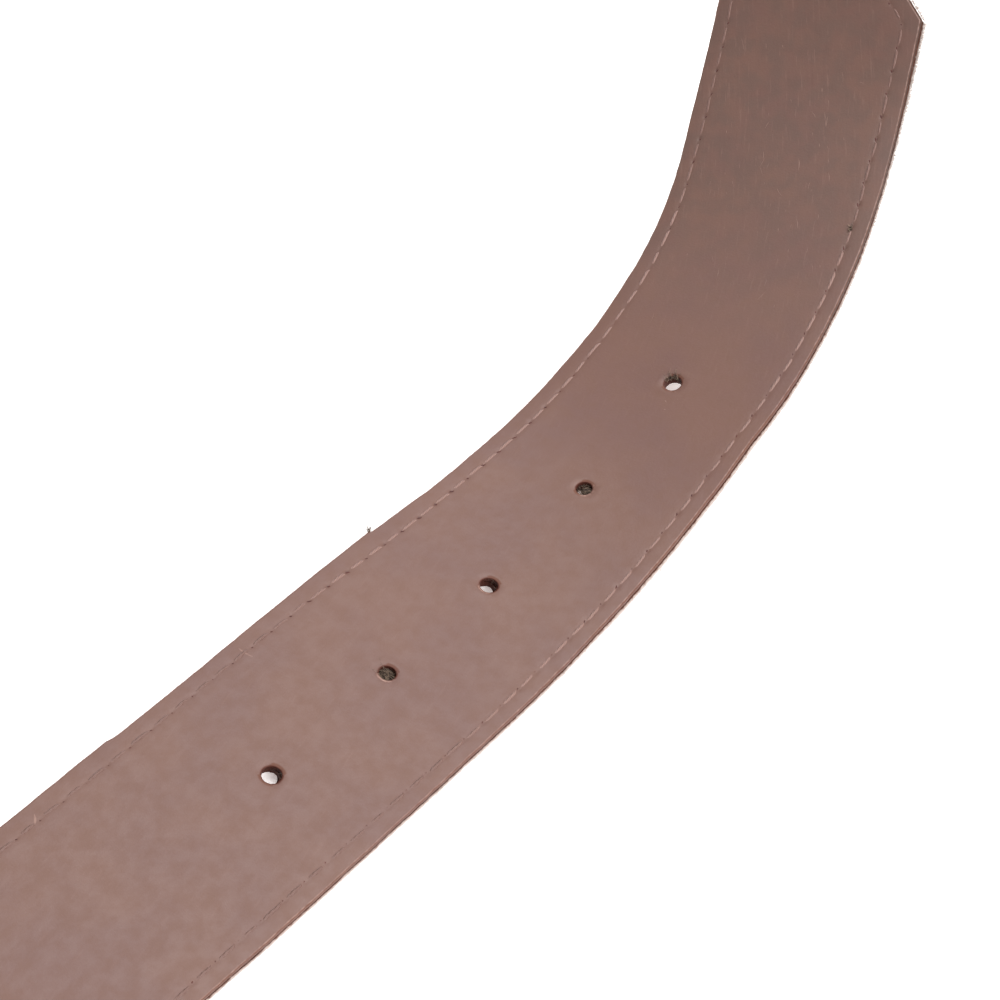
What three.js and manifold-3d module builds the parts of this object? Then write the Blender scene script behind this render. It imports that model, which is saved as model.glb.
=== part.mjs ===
// Lined leather waist belt lying face down, with its holed and pointed tail curling up off the table.
// Millimetres, +X from the buckle towards the tail, +Y to the left of that, +Z up.
// Stations are distances along the belt from its middle hole: minus towards the buckle, plus towards the point.
import * as THREE from 'three';
import { mergeVertices } from 'three/addons/utils/BufferGeometryUtils.js';
import Module from 'manifold-3d';

const wasm = await Module();
wasm.setup();

// Strap
const strapWidth = 38;
const faceThickness = 1.4;
const liningThickness = 1.0;
const glueGap = 0.3;
const edgeChamfer = 0.25;
const waistLength = 914;
const rightShoulder = 128.1;
const leftShoulder = 131.5;
const pointHalfAngle = THREE.MathUtils.degToRad(38.4);
const pointRadius = 3;

// Prong holes, an inch apart as punched by hand: station and distance to the left of the middle line
const holeDiameter = 3.0;
const holeTable = [
  { at: -51.3, y: -1.4 },
  { at: -25.4, y: -0.9 },
  { at: -0.7, y: -0.9 },
  { at: 25.3, y: -0.3 },
  { at: 51.0, y: -0.6 },
];

// Buckle: round bar, U-shaped frame and a prong resting under the far rail
const barRadius = 2;
const railWidth = 4;
const railHeight = 4;
const railBevel = 0.6;
const frameReach = 28;
const frameInnerWidth = 39.6;
const frameCornerRadius = 6;
const prongWidth = 4;
const prongThickness = 2.9;

// Turned-back end of the face strap
const foldSlope = THREE.MathUtils.degToRad(15);
const foldEaseRadius = 8;
const foldLength = 36;
const liningSetback = 10;
const prongSlotWidth = 6;
const prongSlotReach = 9;

// Keeper loop
const keeperWidth = 12;
const keeperWall = 1.2;
const keeperSetback = 22;
const keeperSideGap = 0.5;
const tailRoom = 4.7;
const keeperCorner = 2.2;

// How the strap lies: bend (1/mm, plus lifts), slant of the fold lines (mm along per mm to the left),
// and side (1/mm, plus turns left). Values run straight between the rows.
const keeperLift = keeperWall + glueGap;
const liftBend = keeperLift / 450;
const bendTable = [
  { at: -850, bend: 0, slant: 0, side: 0 },
  { at: -835, bend: -liftBend, slant: 0, side: 0 },
  { at: -820, bend: 0, slant: 0, side: 0 },
  { at: -805, bend: liftBend, slant: 0, side: 0 },
  { at: -790, bend: 0, slant: 0, side: 0 },
  { at: -360, bend: 0, slant: 0, side: 0 },
  { at: -140, bend: 0, slant: 2.55, side: 0 },
  { at: -100, bend: 0, slant: 2.55, side: 0.0007 },
  { at: -60, bend: 0, slant: 2.55, side: -0.0006 },
  { at: -40, bend: 0, slant: 2.4, side: 0 },
  { at: -20, bend: 0, slant: 1.7, side: 0.0006 },
  { at: 0, bend: 0.0034, slant: 1.15, side: 0.00025 },
  { at: 20, bend: 0.0086, slant: 0.65, side: -0.0001 },
  { at: 40, bend: 0.0066, slant: 0.4, side: 0.0013 },
  { at: 60, bend: 0.0015, slant: 0.6, side: 0.0046 },
  { at: 80, bend: 0.0054, slant: 0.15, side: 0.0059 },
  { at: 100, bend: 0.0094, slant: -0.3, side: 0.0022 },
  { at: 120, bend: 0.0089, slant: 0.15, side: -0.0002 },
  { at: 150, bend: 0.006, slant: 0, side: 0 },
];

const halfWidth = strapWidth / 2;
const liningBottom = -liningThickness;
const faceTop = liningBottom - glueGap;
const faceBottom = faceTop - faceThickness;
const faceMiddle = (faceTop + faceBottom) / 2;
const flatHeight = -faceBottom;

function shapeAt(station) {
  const first = bendTable[0];
  const last = bendTable[bendTable.length - 1];
  if (station <= first.at) return first;
  if (station >= last.at) return last;
  const next = bendTable.findIndex((row) => row.at > station);
  const before = bendTable[next - 1];
  const after = bendTable[next];
  const share = (station - before.at) / (after.at - before.at);
  return {
    bend: THREE.MathUtils.lerp(before.bend, after.bend, share),
    slant: THREE.MathUtils.lerp(before.slant, after.slant, share),
    side: THREE.MathUtils.lerp(before.side, after.side, share),
  };
}

// The strap's middle line on the lining's face, stepped from the buckle to past the point.
// Each step turns the frame by its bend, its side curve and the twist that the slanted folds give.
const stepLength = 0.5;
const lineEnd = 170;
const middleLine = [];
{
  const position = new THREE.Vector3(-waistLength, 0, flatHeight + keeperLift);
  const turned = new THREE.Quaternion();
  for (let station = -waistLength; station <= lineEnd; station += stepLength) {
    middleLine.push({ position: position.clone(), turned: turned.clone() });
    const { bend, slant, side } = shapeAt(station + stepLength / 2);
    const turn = new THREE.Vector3(-slant * bend, -bend, side).multiplyScalar(stepLength / 2);
    const half = new THREE.Quaternion();
    if (turn.lengthSq() > 0) half.setFromAxisAngle(turn.clone().normalize(), turn.length());
    turned.multiply(half);
    position.add(new THREE.Vector3(stepLength, 0, 0).applyQuaternion(turned));
    turned.multiply(half);
  }
}

function frameAt(station) {
  const place = THREE.MathUtils.clamp((station + waistLength) / stepLength, 0, middleLine.length - 1.001);
  const index = Math.floor(place);
  const share = place - index;
  const { position, turned } = middleLine[index];
  const after = middleLine[index + 1];
  return {
    position: position.clone().lerp(after.position, share),
    turned: turned.clone().slerp(after.turned, share),
  };
}

// A point of the strap: station along it, y to the left of its middle line, height above the lining's face.
// The fold line through the point meets the middle line at the station plus the slant's share of y.
function strapFrame(station, y) {
  let onLine = station;
  for (let pass = 0; pass < 24; pass += 1) onLine = station - y * shapeAt(onLine).slant;
  const { position, turned } = frameAt(onLine);
  const across = new THREE.Vector3(y * shapeAt(onLine).slant, y, 0).applyQuaternion(turned);
  const up = new THREE.Vector3(0, 0, 1).applyQuaternion(turned);
  return { position: position.add(across), up, turned };
}

function strapPoint(station, y, height) {
  const { position, up } = strapFrame(station, y);
  return position.addScaledVector(up, height);
}

// The point is cut by hand: its left shoulder lies further out, so its axis is off the middle line.
const pointSin = Math.sin(pointHalfAngle);
const pointCos = Math.cos(pointHalfAngle);
const pointAxis = ((leftShoulder - rightShoulder) / 2) * (pointSin / pointCos);
const noseCentre = rightShoulder + ((halfWidth + pointAxis) * pointCos - pointRadius) / pointSin;
const noseTangent = noseCentre + pointRadius * pointSin;
const tipStation = noseCentre + pointRadius;

// Right and left edge at a station: full width, then slanted sides to a round nose.
function edgesAt(station) {
  const toNose = station - noseCentre;
  const slanted = (pointRadius - toNose * pointSin) / pointCos;
  const rounded = Math.sqrt(Math.max(pointRadius ** 2 - toNose ** 2, 0));
  const half = station > noseTangent ? rounded : slanted;
  return [Math.max(-halfWidth, pointAxis - half), Math.min(halfWidth, pointAxis + half)];
}

// Outline of a cut across the strap, counter-clockwise seen from the tail: [y, height] pairs.
function sectionOutline([right, left], bottom, top) {
  const cut = Math.min(edgeChamfer, (left - right) / 6);
  const across = [0, 0.25, 0.5, 0.75, 1].map((share) => THREE.MathUtils.lerp(right + cut, left - cut, share));
  const bottomSide = across.map((y) => [y, bottom]);
  const topSide = across.map((y) => [y, top]).reverse();
  const leftSide = [[left, bottom + cut], [left, top - cut]];
  const rightSide = [[right, top - cut], [right, bottom + cut]];
  return [...bottomSide, ...leftSide, ...topSide, ...rightSide];
}

function span(from, to, step) {
  const count = Math.ceil((to - from) / step);
  return Array.from({ length: count }, (_, i) => from + ((to - from) * i) / count);
}

// Closed skin over rows of equal loops, with a flat fan at each end.
function skin(rows) {
  const loop = rows[0].length;
  const positions = rows.flat().flatMap((point) => point.toArray());
  const indices = [];
  for (let row = 0; row < rows.length - 1; row += 1) {
    for (let i = 0; i < loop; i += 1) {
      const a = row * loop + i;
      const b = row * loop + ((i + 1) % loop);
      indices.push(a, b, a + loop, b, b + loop, a + loop);
    }
  }
  const end = (rows.length - 1) * loop;
  for (let i = 1; i < loop - 1; i += 1) {
    indices.push(0, i + 1, i);
    indices.push(end, end + i, end + i + 1);
  }
  const geometry = new THREE.BufferGeometry();
  geometry.setAttribute('position', new THREE.Float32BufferAttribute(positions, 3));
  geometry.setIndex(indices);
  return geometry;
}

function solid(geometry) {
  const bare = geometry.clone();
  bare.deleteAttribute('normal');
  bare.deleteAttribute('uv');
  const merged = mergeVertices(bare, 1e-4);
  return new wasm.Manifold(new wasm.Mesh({
    numProp: 3,
    vertProperties: new Float32Array(merged.attributes.position.array),
    triVerts: new Uint32Array(merged.index.array),
  }));
}

function mesh(name, body, material) {
  const { vertProperties, triVerts, numProp } = body.getMesh();
  const geometry = new THREE.BufferGeometry();
  const points = [];
  for (let i = 0; i < vertProperties.length; i += numProp) {
    points.push(vertProperties[i], vertProperties[i + 1], vertProperties[i + 2]);
  }
  geometry.setAttribute('position', new THREE.Float32BufferAttribute(points, 3));
  geometry.setIndex([...triVerts]);
  geometry.computeVertexNormals();
  const made = new THREE.Mesh(geometry, material);
  made.name = name;
  return made;
}

// Stations of the strap's rows: few where it lies straight, close where it curls and at the point.
const straightStart = -790;
const curlStart = -140;
function strapStations(from) {
  const nose = [1, 0.6, 0.3, 0.1, 0.02].map((share) => tipStation - (tipStation - noseTangent) * share);
  return [
    from,
    ...span(-850, straightStart, 6),
    ...span(straightStart, curlStart, 130),
    ...span(curlStart, rightShoulder, 4.2),
    rightShoulder,
    ...span(leftShoulder, noseTangent, 4),
    ...nose,
  ];
}

function strapRows(from, bottom, top) {
  return strapStations(from).map((station) => {
    const outline = sectionOutline(edgesAt(station), bottom, top);
    return outline.map(([y, height]) => strapPoint(station, y, height));
  });
}

// Bar centre: the face strap passes under the bar with the glue gap between them.
const barCentre = strapPoint(-waistLength, 0, faceTop + glueGap + barRadius);
const wrapRadius = barRadius + glueGap + faceThickness / 2;

// The turned-back end, from its free edge round the bar: rows of the face strap's middle surface.
// turn is the angle about the bar: 0 under it, half a turn on top of it.
function foldRows() {
  const upAt = (turn) => new THREE.Vector3(Math.sin(turn), 0, Math.cos(turn));
  const alongAt = (turn) => new THREE.Vector3(Math.cos(turn), 0, -Math.sin(turn));
  const fullTurn = Math.PI + foldSlope;
  const frames = [];
  for (let i = 1; i <= 13; i += 1) {
    const turn = (fullTurn * i) / 13;
    frames.push({ middle: barCentre.clone().addScaledVector(upAt(turn), -wrapRadius), turn });
  }
  const restHeight = flatHeight + keeperLift + glueGap + faceThickness / 2;
  const easeDrop = foldEaseRadius * (1 - Math.cos(foldSlope));
  const wrapTop = frames[frames.length - 1].middle;
  const slopeLength = (wrapTop.z - easeDrop - restHeight) / Math.sin(foldSlope);
  const slopeEnd = wrapTop.clone().addScaledVector(alongAt(fullTurn), -slopeLength);
  const easeCentre = slopeEnd.clone().addScaledVector(upAt(fullTurn), -foldEaseRadius);
  for (let i = 0; i <= 4; i += 1) {
    const turn = fullTurn - (foldSlope * i) / 4;
    frames.push({ middle: easeCentre.clone().addScaledVector(upAt(turn), foldEaseRadius), turn });
  }
  const flatStart = frames[frames.length - 1].middle;
  const freeEnd = flatStart.clone().addScaledVector(alongAt(Math.PI), -foldLength);
  frames.push({ middle: freeEnd, turn: Math.PI });
  const outline = sectionOutline([-halfWidth, halfWidth], faceBottom - faceMiddle, faceTop - faceMiddle);
  return frames.reverse().map(({ middle, turn }) => outline.map(([y, height]) => {
    const point = middle.clone().addScaledVector(upAt(turn), height);
    point.y += y;
    return point;
  }));
}

function prongHoles() {
  return holeTable.map(({ at, y }) => {
    const { position, up } = strapFrame(at, y);
    const drill = new THREE.CylinderGeometry(holeDiameter / 2, holeDiameter / 2, 12, 24);
    drill.applyQuaternion(new THREE.Quaternion().setFromUnitVectors(new THREE.Vector3(0, 1, 0), up));
    drill.translate(position.x, position.y, position.z);
    return solid(drill);
  });
}

function faceStrap() {
  let body = solid(skin([...foldRows(), ...strapRows(-waistLength, faceBottom, faceTop)]));
  for (const hole of prongHoles()) body = body.subtract(hole);
  const slotFrom = barCentre.x - 2 * wrapRadius;
  const slotTo = barCentre.x + prongSlotReach;
  const slot = new THREE.BoxGeometry(slotTo - slotFrom, prongSlotWidth, 30);
  slot.translate((slotFrom + slotTo) / 2, 0, barCentre.z);
  return body.subtract(solid(slot));
}

function liningStrap() {
  let body = solid(skin(strapRows(-waistLength + liningSetback, liningBottom, 0)));
  for (const hole of prongHoles()) body = body.subtract(hole);
  return body;
}

// U-shaped frame open towards the strap, drawn about the bar's centre.
function frameOutline() {
  const outer = frameInnerWidth / 2 + railWidth;
  const inner = frameInnerWidth / 2;
  const far = -frameReach - railWidth / 2;
  const innerFar = -frameReach + railWidth / 2;
  const innerRadius = frameCornerRadius - railWidth / 2;
  const shape = new THREE.Shape();
  shape.moveTo(barRadius, -outer);
  shape.lineTo(barRadius, -inner);
  shape.lineTo(innerFar + innerRadius, -inner);
  shape.absarc(innerFar + innerRadius, -inner + innerRadius, innerRadius, -Math.PI / 2, -Math.PI, true);
  shape.lineTo(innerFar, inner - innerRadius);
  shape.absarc(innerFar + innerRadius, inner - innerRadius, innerRadius, Math.PI, Math.PI / 2, true);
  shape.lineTo(barRadius, inner);
  shape.lineTo(barRadius, outer);
  shape.lineTo(far + frameCornerRadius, outer);
  shape.absarc(far + frameCornerRadius, outer - frameCornerRadius, frameCornerRadius, Math.PI / 2, Math.PI, false);
  shape.lineTo(far, -outer + frameCornerRadius);
  shape.absarc(far + frameCornerRadius, -outer + frameCornerRadius, frameCornerRadius, Math.PI, 1.5 * Math.PI, false);
  return shape;
}

// Side view of the prong: from inside the bar down to the table, its end under the far rail.
function prongOutline() {
  const table = -barCentre.z;
  const under = table + prongThickness;
  const tip = -frameReach - railWidth / 2 - 1.5;
  const railNear = -frameReach + railWidth / 2;
  return new THREE.Shape([
    new THREE.Vector2(0.8, -1.5),
    new THREE.Vector2(0.8, 1.4),
    new THREE.Vector2(railNear + 0.6, under),
    new THREE.Vector2(tip + 0.8, under),
    new THREE.Vector2(tip, under - 0.8),
    new THREE.Vector2(tip, table),
    new THREE.Vector2(railNear + 1.5, table),
  ]);
}

function buckle() {
  const rails = new THREE.ExtrudeGeometry(frameOutline(), {
    depth: railHeight - 2 * railBevel,
    bevelThickness: railBevel,
    bevelSize: railBevel,
    bevelOffset: -railBevel,
    bevelSegments: 2,
    curveSegments: 8,
  });
  rails.translate(0, 0, railBevel - railHeight / 2);
  const bar = new THREE.CylinderGeometry(barRadius, barRadius, frameInnerWidth + railWidth, 24);
  const prong = new THREE.ExtrudeGeometry(prongOutline(), { depth: prongWidth, bevelEnabled: false });
  prong.translate(0, 0, -prongWidth / 2);
  prong.rotateX(Math.PI / 2);
  const whole = solid(rails).add(solid(bar)).add(solid(prong));
  return whole.translate([barCentre.x, barCentre.y, barCentre.z]);
}

function roundedRectangle(path, halfY, lowZ, highZ, radius) {
  path.moveTo(halfY, lowZ + radius);
  path.lineTo(halfY, highZ - radius);
  path.absarc(halfY - radius, highZ - radius, radius, 0, Math.PI / 2, false);
  path.lineTo(-halfY + radius, highZ);
  path.absarc(-halfY + radius, highZ - radius, radius, Math.PI / 2, Math.PI, false);
  path.lineTo(-halfY, lowZ + radius);
  path.absarc(-halfY + radius, lowZ + radius, radius, Math.PI, 1.5 * Math.PI, false);
  path.lineTo(halfY - radius, lowZ);
  path.absarc(halfY - radius, lowZ + radius, radius, 1.5 * Math.PI, 2 * Math.PI, false);
  return path;
}

// A band round the doubled strap, open along X, with room above it for the tail.
function keeper() {
  const innerHalf = halfWidth + keeperSideGap;
  const doubledTop = flatHeight + keeperLift + glueGap + faceThickness;
  const innerHigh = doubledTop + tailRoom;
  const band = roundedRectangle(
    new THREE.Shape(),
    innerHalf + keeperWall,
    0,
    innerHigh + keeperWall,
    keeperCorner,
  );
  const hollow = new THREE.Path();
  band.holes.push(roundedRectangle(hollow, innerHalf, keeperWall, innerHigh, keeperCorner - keeperWall));
  const geometry = new THREE.ExtrudeGeometry(band, { depth: keeperWidth, bevelEnabled: false, curveSegments: 6 });
  geometry.rotateX(Math.PI / 2);
  geometry.rotateZ(Math.PI / 2);
  geometry.translate(barCentre.x + keeperSetback, 0, 0);
  return solid(geometry);
}

const faceLeather = new THREE.MeshStandardMaterial({ color: 0x6a4538, roughness: 0.5, metalness: 0 });
const liningLeather = new THREE.MeshStandardMaterial({ color: 0x94766b, roughness: 0.6, metalness: 0 });
const keeperLeather = new THREE.MeshStandardMaterial({ color: 0x64412f, roughness: 0.5, metalness: 0 });
const buckleMetal = new THREE.MeshStandardMaterial({ color: 0xa8a6a2, roughness: 0.35, metalness: 1 });

const belt = new THREE.Group();
belt.add(mesh('face_strap', faceStrap(), faceLeather));
belt.add(mesh('lining_strap', liningStrap(), liningLeather));
belt.add(mesh('buckle', buckle(), buckleMetal));
belt.add(mesh('keeper', keeper(), keeperLeather));

// The origin is under the middle of the whole belt, on the table.
const box = new THREE.Box3().setFromObject(belt);
const centre = box.getCenter(new THREE.Vector3());
belt.position.set(-centre.x, -centre.y, -box.min.z);
belt.updateMatrixWorld(true);

export default belt;
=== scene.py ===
import math

import bmesh
import bpy
import numpy as np
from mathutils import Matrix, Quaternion, Vector


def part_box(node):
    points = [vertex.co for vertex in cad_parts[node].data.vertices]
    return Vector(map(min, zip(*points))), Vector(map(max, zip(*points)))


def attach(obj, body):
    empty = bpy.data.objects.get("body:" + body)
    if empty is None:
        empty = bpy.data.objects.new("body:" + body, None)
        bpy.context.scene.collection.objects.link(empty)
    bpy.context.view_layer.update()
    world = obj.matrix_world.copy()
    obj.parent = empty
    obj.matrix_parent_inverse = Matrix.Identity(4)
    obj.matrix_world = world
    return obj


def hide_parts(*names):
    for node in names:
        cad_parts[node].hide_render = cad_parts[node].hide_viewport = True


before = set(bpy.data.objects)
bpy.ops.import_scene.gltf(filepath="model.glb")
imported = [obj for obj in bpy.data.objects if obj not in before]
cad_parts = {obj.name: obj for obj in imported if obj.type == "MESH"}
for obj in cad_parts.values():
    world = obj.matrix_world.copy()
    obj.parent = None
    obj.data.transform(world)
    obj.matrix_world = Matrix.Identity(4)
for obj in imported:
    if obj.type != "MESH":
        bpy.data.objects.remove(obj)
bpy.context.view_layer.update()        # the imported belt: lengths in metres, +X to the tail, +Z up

mm = 0.001
print("frame loaded:", sorted(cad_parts))

# The strap, in mm. Stations run along it from the middle hole: minus to the buckle, plus to the point.
strap = {
    "halfWidth": 19.0,
    "liningThickness": 1.0,
    "glueGap": 0.3,
    "faceThickness": 1.4,
    "barStation": -914.0,
    "liningStart": -904.0,
    "keeperLift": 1.5,
    "rightShoulder": 128.1,
    "leftShoulder": 131.5,   # the point is cut a little askew
    "pointHalfAngle": 38.4,  # degrees
    "noseRadius": 3.0,
}
halfWidth = strap["halfWidth"]
liningBottom = -strap["liningThickness"]
faceTop = liningBottom - strap["glueGap"]
faceBottom = faceTop - strap["faceThickness"]
faceMiddle = (faceTop + faceBottom) / 2

# How the strap lies: bend 1/mm, plus lifts; slant of the fold lines, mm along per mm to the left;
# side 1/mm, plus turns left. Values run straight between the columns.
liftBend = strap["keeperLift"] / 450
lie = {
    "at": [-850, -835, -820, -805, -790, -360, -140, -100, -60, -40, -20, 0, 20, 40, 60, 80, 100, 120, 150],
    "bend": [0, -liftBend, 0, liftBend, 0, 0, 0, 0, 0, 0, 0,
             0.0034, 0.0086, 0.0066, 0.0015, 0.0054, 0.0094, 0.0089, 0.006],
    "slant": [0, 0, 0, 0, 0, 0, 2.55, 2.55, 2.55, 2.4, 1.7,
              1.15, 0.65, 0.4, 0.6, 0.15, -0.3, 0.15, 0],
    "side": [0, 0, 0, 0, 0, 0, 0, 0.0007, -0.0006, 0, 0.0006,
             0.00025, -0.0001, 0.0013, 0.0046, 0.0059, 0.0022, -0.0002, 0],
}

# The belt's place in the frame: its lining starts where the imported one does, the keeper is centred on it
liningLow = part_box("lining_strap")[0]
keeperLow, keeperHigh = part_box("keeper")
beltShift = np.array([
    liningLow.x / mm - strap["liningStart"],
    (keeperLow.y + keeperHigh.y) / 2 / mm,
    0.0,
])


def lieAt(station, column):
    return np.interp(station, lie["at"], lie[column])


def easeBetween(value, low, high):
    # 0 below low, 1 above high, and 3t² - 2t³ between them
    share = np.clip((value - low) / (high - low), 0, 1)
    return share * share * (3 - 2 * share)


def smoothNoise(place, spacing, seed):
    # seeded random heights from -1 to 1, one every spacing mm, joined by eased steps
    heights = np.random.default_rng(seed).uniform(-1, 1, 8192)
    scaled = np.asarray(place) / spacing + 4096
    index = np.floor(scaled).astype(int)
    share = scaled - index
    ease = share * share * (3 - 2 * share)
    return heights[index] * (1 - ease) + heights[index + 1] * ease


def turnMatrices(turns):
    # Rodrigues: identity + sin(a) K + (1 - cos(a)) K², with K the cross product with each turn's unit axis
    angle = np.linalg.norm(turns, axis=1)
    x, y, z = (turns / np.maximum(angle, 1e-12)[:, None]).T
    zero = np.zeros_like(x)
    cross = np.array([[zero, -z, y], [z, zero, -x], [-y, x, zero]]).transpose(2, 0, 1)
    swing = np.sin(angle)[:, None, None] * cross
    return np.eye(3) + swing + (1 - np.cos(angle))[:, None, None] * (cross @ cross)


lineStep = 0.5
lineStations = np.arange(strap["barStation"], 170, lineStep)


def middleLine():
    # The line down the lining's face. Each step turns the belt's own axes by (-slant bend, -bend, side):
    # half the turn, a step along, the other half. The running product of turns is made by doubling.
    middle = lineStations + lineStep / 2
    bend = lieAt(middle, "bend")
    turns = np.stack([-lieAt(middle, "slant") * bend, -bend, lieAt(middle, "side")], 1)
    half = turnMatrices(turns * lineStep / 2)
    running = half @ half
    jump = 1
    while jump < len(running):
        running[jump:] = running[:-jump] @ running[jump:]
        jump *= 2
    axes = np.concatenate([np.eye(3)[None], running[:-1]])
    steps = (axes @ half)[:, :, 0] * lineStep
    start = np.array([strap["barStation"], 0, strap["keeperLift"] - faceBottom])
    places = start + np.concatenate([np.zeros((1, 3)), np.cumsum(steps, 0)[:-1]])
    return places, axes


linePlaces, lineAxes = middleLine()


def strapPoints(station, y, height):
    # The fold line through (station, y) meets the middle line at station - y slant.
    # point = line + y (slant along + left) + height up, in the belt's own axes there
    onLine = station
    for _ in range(24):
        onLine = station - y * lieAt(onLine, "slant")
    place = np.clip((onLine - strap["barStation"]) / lineStep, 0, len(lineStations) - 1.001)
    index = place.astype(int)
    share = (place - index)[:, None]
    origin = linePlaces[index] * (1 - share) + linePlaces[index + 1] * share
    along, left, up = (
        lineAxes[index, :, axis] * (1 - share) + lineAxes[index + 1, :, axis] * share for axis in range(3)
    )
    slant = lieAt(onLine, "slant")
    across = y[:, None] * (slant[:, None] * along + left)
    return origin + across + height[:, None] * up + beltShift


# The turned-back end: round the bar, down a slope, then flat on the strap
fold = {
    "barRadius": 2.0,
    "slope": math.radians(15),
    "easeRadius": 8.0,
    "flatLength": 36.0,
}
wrapRadius = fold["barRadius"] + strap["glueGap"] + strap["faceThickness"] / 2
flatHeight = strap["keeperLift"] - faceBottom
barHeight = flatHeight + faceTop + strap["glueGap"] + fold["barRadius"]
fullTurn = math.pi + fold["slope"]
wrapLength = wrapRadius * fullTurn
easeDrop = fold["easeRadius"] * (1 - math.cos(fold["slope"]))
restHeight = flatHeight + strap["glueGap"] + strap["faceThickness"] / 2
wrapEnd = barHeight - wrapRadius * math.cos(fullTurn)
slopeLength = (wrapEnd - easeDrop - restHeight) / math.sin(fold["slope"])
easeLength = fold["easeRadius"] * fold["slope"]
foldEnd = strap["barStation"] - wrapLength - slopeLength - easeLength - fold["flatLength"]


def foldPoints(station, y, height):
    # Arc of the wrap radius about the bar, straight slope, arc back to level, straight: each adds its
    # share. turn is the angle about the bar, 0 under it; up is (sin turn, 0, cos turn)
    run = strap["barStation"] - station
    slopeRun = np.clip(run - wrapLength, 0, slopeLength)
    easeRun = np.clip(run - wrapLength - slopeLength, 0, easeLength)
    flatRun = np.clip(run - wrapLength - slopeLength - easeLength, 0, None)
    wrapTurn = np.clip(run, 0, wrapLength) / wrapRadius
    turn = wrapTurn - easeRun / fold["easeRadius"]
    upX = np.sin(turn)
    upZ = np.cos(turn)
    eased = easeRun > 0
    x = -wrapRadius * np.sin(wrapTurn) - slopeRun * math.cos(fullTurn) + flatRun
    z = -wrapRadius * np.cos(wrapTurn) + slopeRun * math.sin(fullTurn)
    x += np.where(eased, fold["easeRadius"] * (upX - math.sin(fullTurn)), 0)
    z += np.where(eased, fold["easeRadius"] * (upZ - math.cos(fullTurn)), 0)
    lift = height - faceMiddle
    points = np.stack([strap["barStation"] + x + upX * lift, y, barHeight + z + upZ * lift], 1)
    return points + beltShift


def facePoints(station, y, height):
    onStrap = strapPoints(np.maximum(station, strap["barStation"]), y, height)
    folded = foldPoints(np.minimum(station, strap["barStation"]), y, height)
    return np.where((station >= strap["barStation"])[:, None], onStrap, folded)


pointSin = math.sin(math.radians(strap["pointHalfAngle"]))
pointCos = math.cos(math.radians(strap["pointHalfAngle"]))
pointAxis = (strap["leftShoulder"] - strap["rightShoulder"]) / 2 * pointSin / pointCos
noseCentre = strap["rightShoulder"] + ((halfWidth + pointAxis) * pointCos - strap["noseRadius"]) / pointSin
tipStation = noseCentre + strap["noseRadius"]


def edgesAt(station, inset):
    # Right and left edge of the outline moved in by the inset: straight sides, slanted sides, round nose
    toNose = station - noseCentre
    radius = strap["noseRadius"] - inset
    slanted = (radius - toNose * pointSin) / pointCos
    rounded = np.sqrt(np.clip(radius * radius - toNose * toNose, 0, None))
    half = np.clip(np.where((radius > 0) & (toNose > radius * pointSin), rounded, slanted), 0, None)
    return np.maximum(inset - halfWidth, pointAxis - half), np.minimum(halfWidth - inset, pointAxis + half)


def insetAt(station, y):
    # Distance in from the outline: the least of those to the side, the slant and, past it, the nose
    toNose = station - noseCentre
    across = np.abs(y - pointAxis)
    slanted = strap["noseRadius"] - toNose * pointSin - across * pointCos
    rounded = strap["noseRadius"] - np.hypot(toNose, across)
    pointed = np.where(toNose * pointCos > across * pointSin, rounded, slanted)
    return np.minimum(halfWidth - np.abs(y), pointed)


# How the hand cut the edges, mm beyond the straight outline
trim = {
    "at": [-85, -70, -64, -62.5, -46, -28, -16, -9, -6.4, -5.8, 2,
           14, 38, 46, 56, 68, 82, 98, 108, 118, 124, 131],
    "left": [0, 0.35, 0.35, 0.02, -0.2, 0, 0.3, 0.5, 0.62, 0.3, 0.3,
             -0.1, 0.1, 0.1, -0.15, 0.12, -0.15, 0, 0.28, 0.12, -0.02, -0.2],
    "right": [-0.05, 0.22, 0.18, 0.18, 0.1, 0.15, 0.38, 0.38, 0.38, 0.38, 0.28,
              0.22, -0.15, -0.3, 0.35, 0.42, 0.45, 0.22, 0.05, 0.12, 0.32, 0.42],
}
# The edge seam, about six stitches to the inch: its distance from the edge and the stitch length wander.
# torn is how far the needle holes are torn open, from not at all to 1
seam = {
    "at": [-900, -40, -20, 10, 30, 46, 60, 76, 90, 98, 115, 124, 140],
    "leftInset": [2.95, 2.95, 2.7, 2.9, 3.0, 3.0, 3.0, 2.95, 2.8, 2.6, 2.6, 2.8, 2.69],
    "rightInset": [2.5, 2.5, 2.2, 2.3, 2.7, 2.75, 2.25, 2.3, 2.6, 3.1, 3.1, 2.8, 2.69],
    "leftPitch": [4.28, 4.28, 4.28, 4.28, 4.28, 4.28, 4.45, 5.3, 5.45, 4.62, 4.62, 4.62, 4.62],
    "rightPitch": [4.27] * 13,
    "leftTorn": [0.4, 0.6, 1.2, 1.4, 1.1, 0.6, 0.25, 0.3, 0.6, 0.9, 0.9, 0.9, 0.9],
    "rightTorn": [0.4, 0.55, 0.65, 0.8, 0.8, 0.7, 0.8, 1.0, 1.1, 1.1, 1.1, 1.1, 1.1],
    "pointStitches": 6,
    "grooveDepth": 0.035,
    "grooveWidth": 0.4,
    "needleDepth": 0.15,
    "needleRadius": 0.3,
    "marginDrop": 0.06,
    "marginRoll": 0.03,
    "threadRadius": 0.2,
    "hook": 0.34,            # how far each stitch's end turns inward as it dives
}
sides = {"left": 1, "right": -1}


def alongSeam(station, side, column):
    return np.interp(station, seam["at"], seam[side + column])


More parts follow.
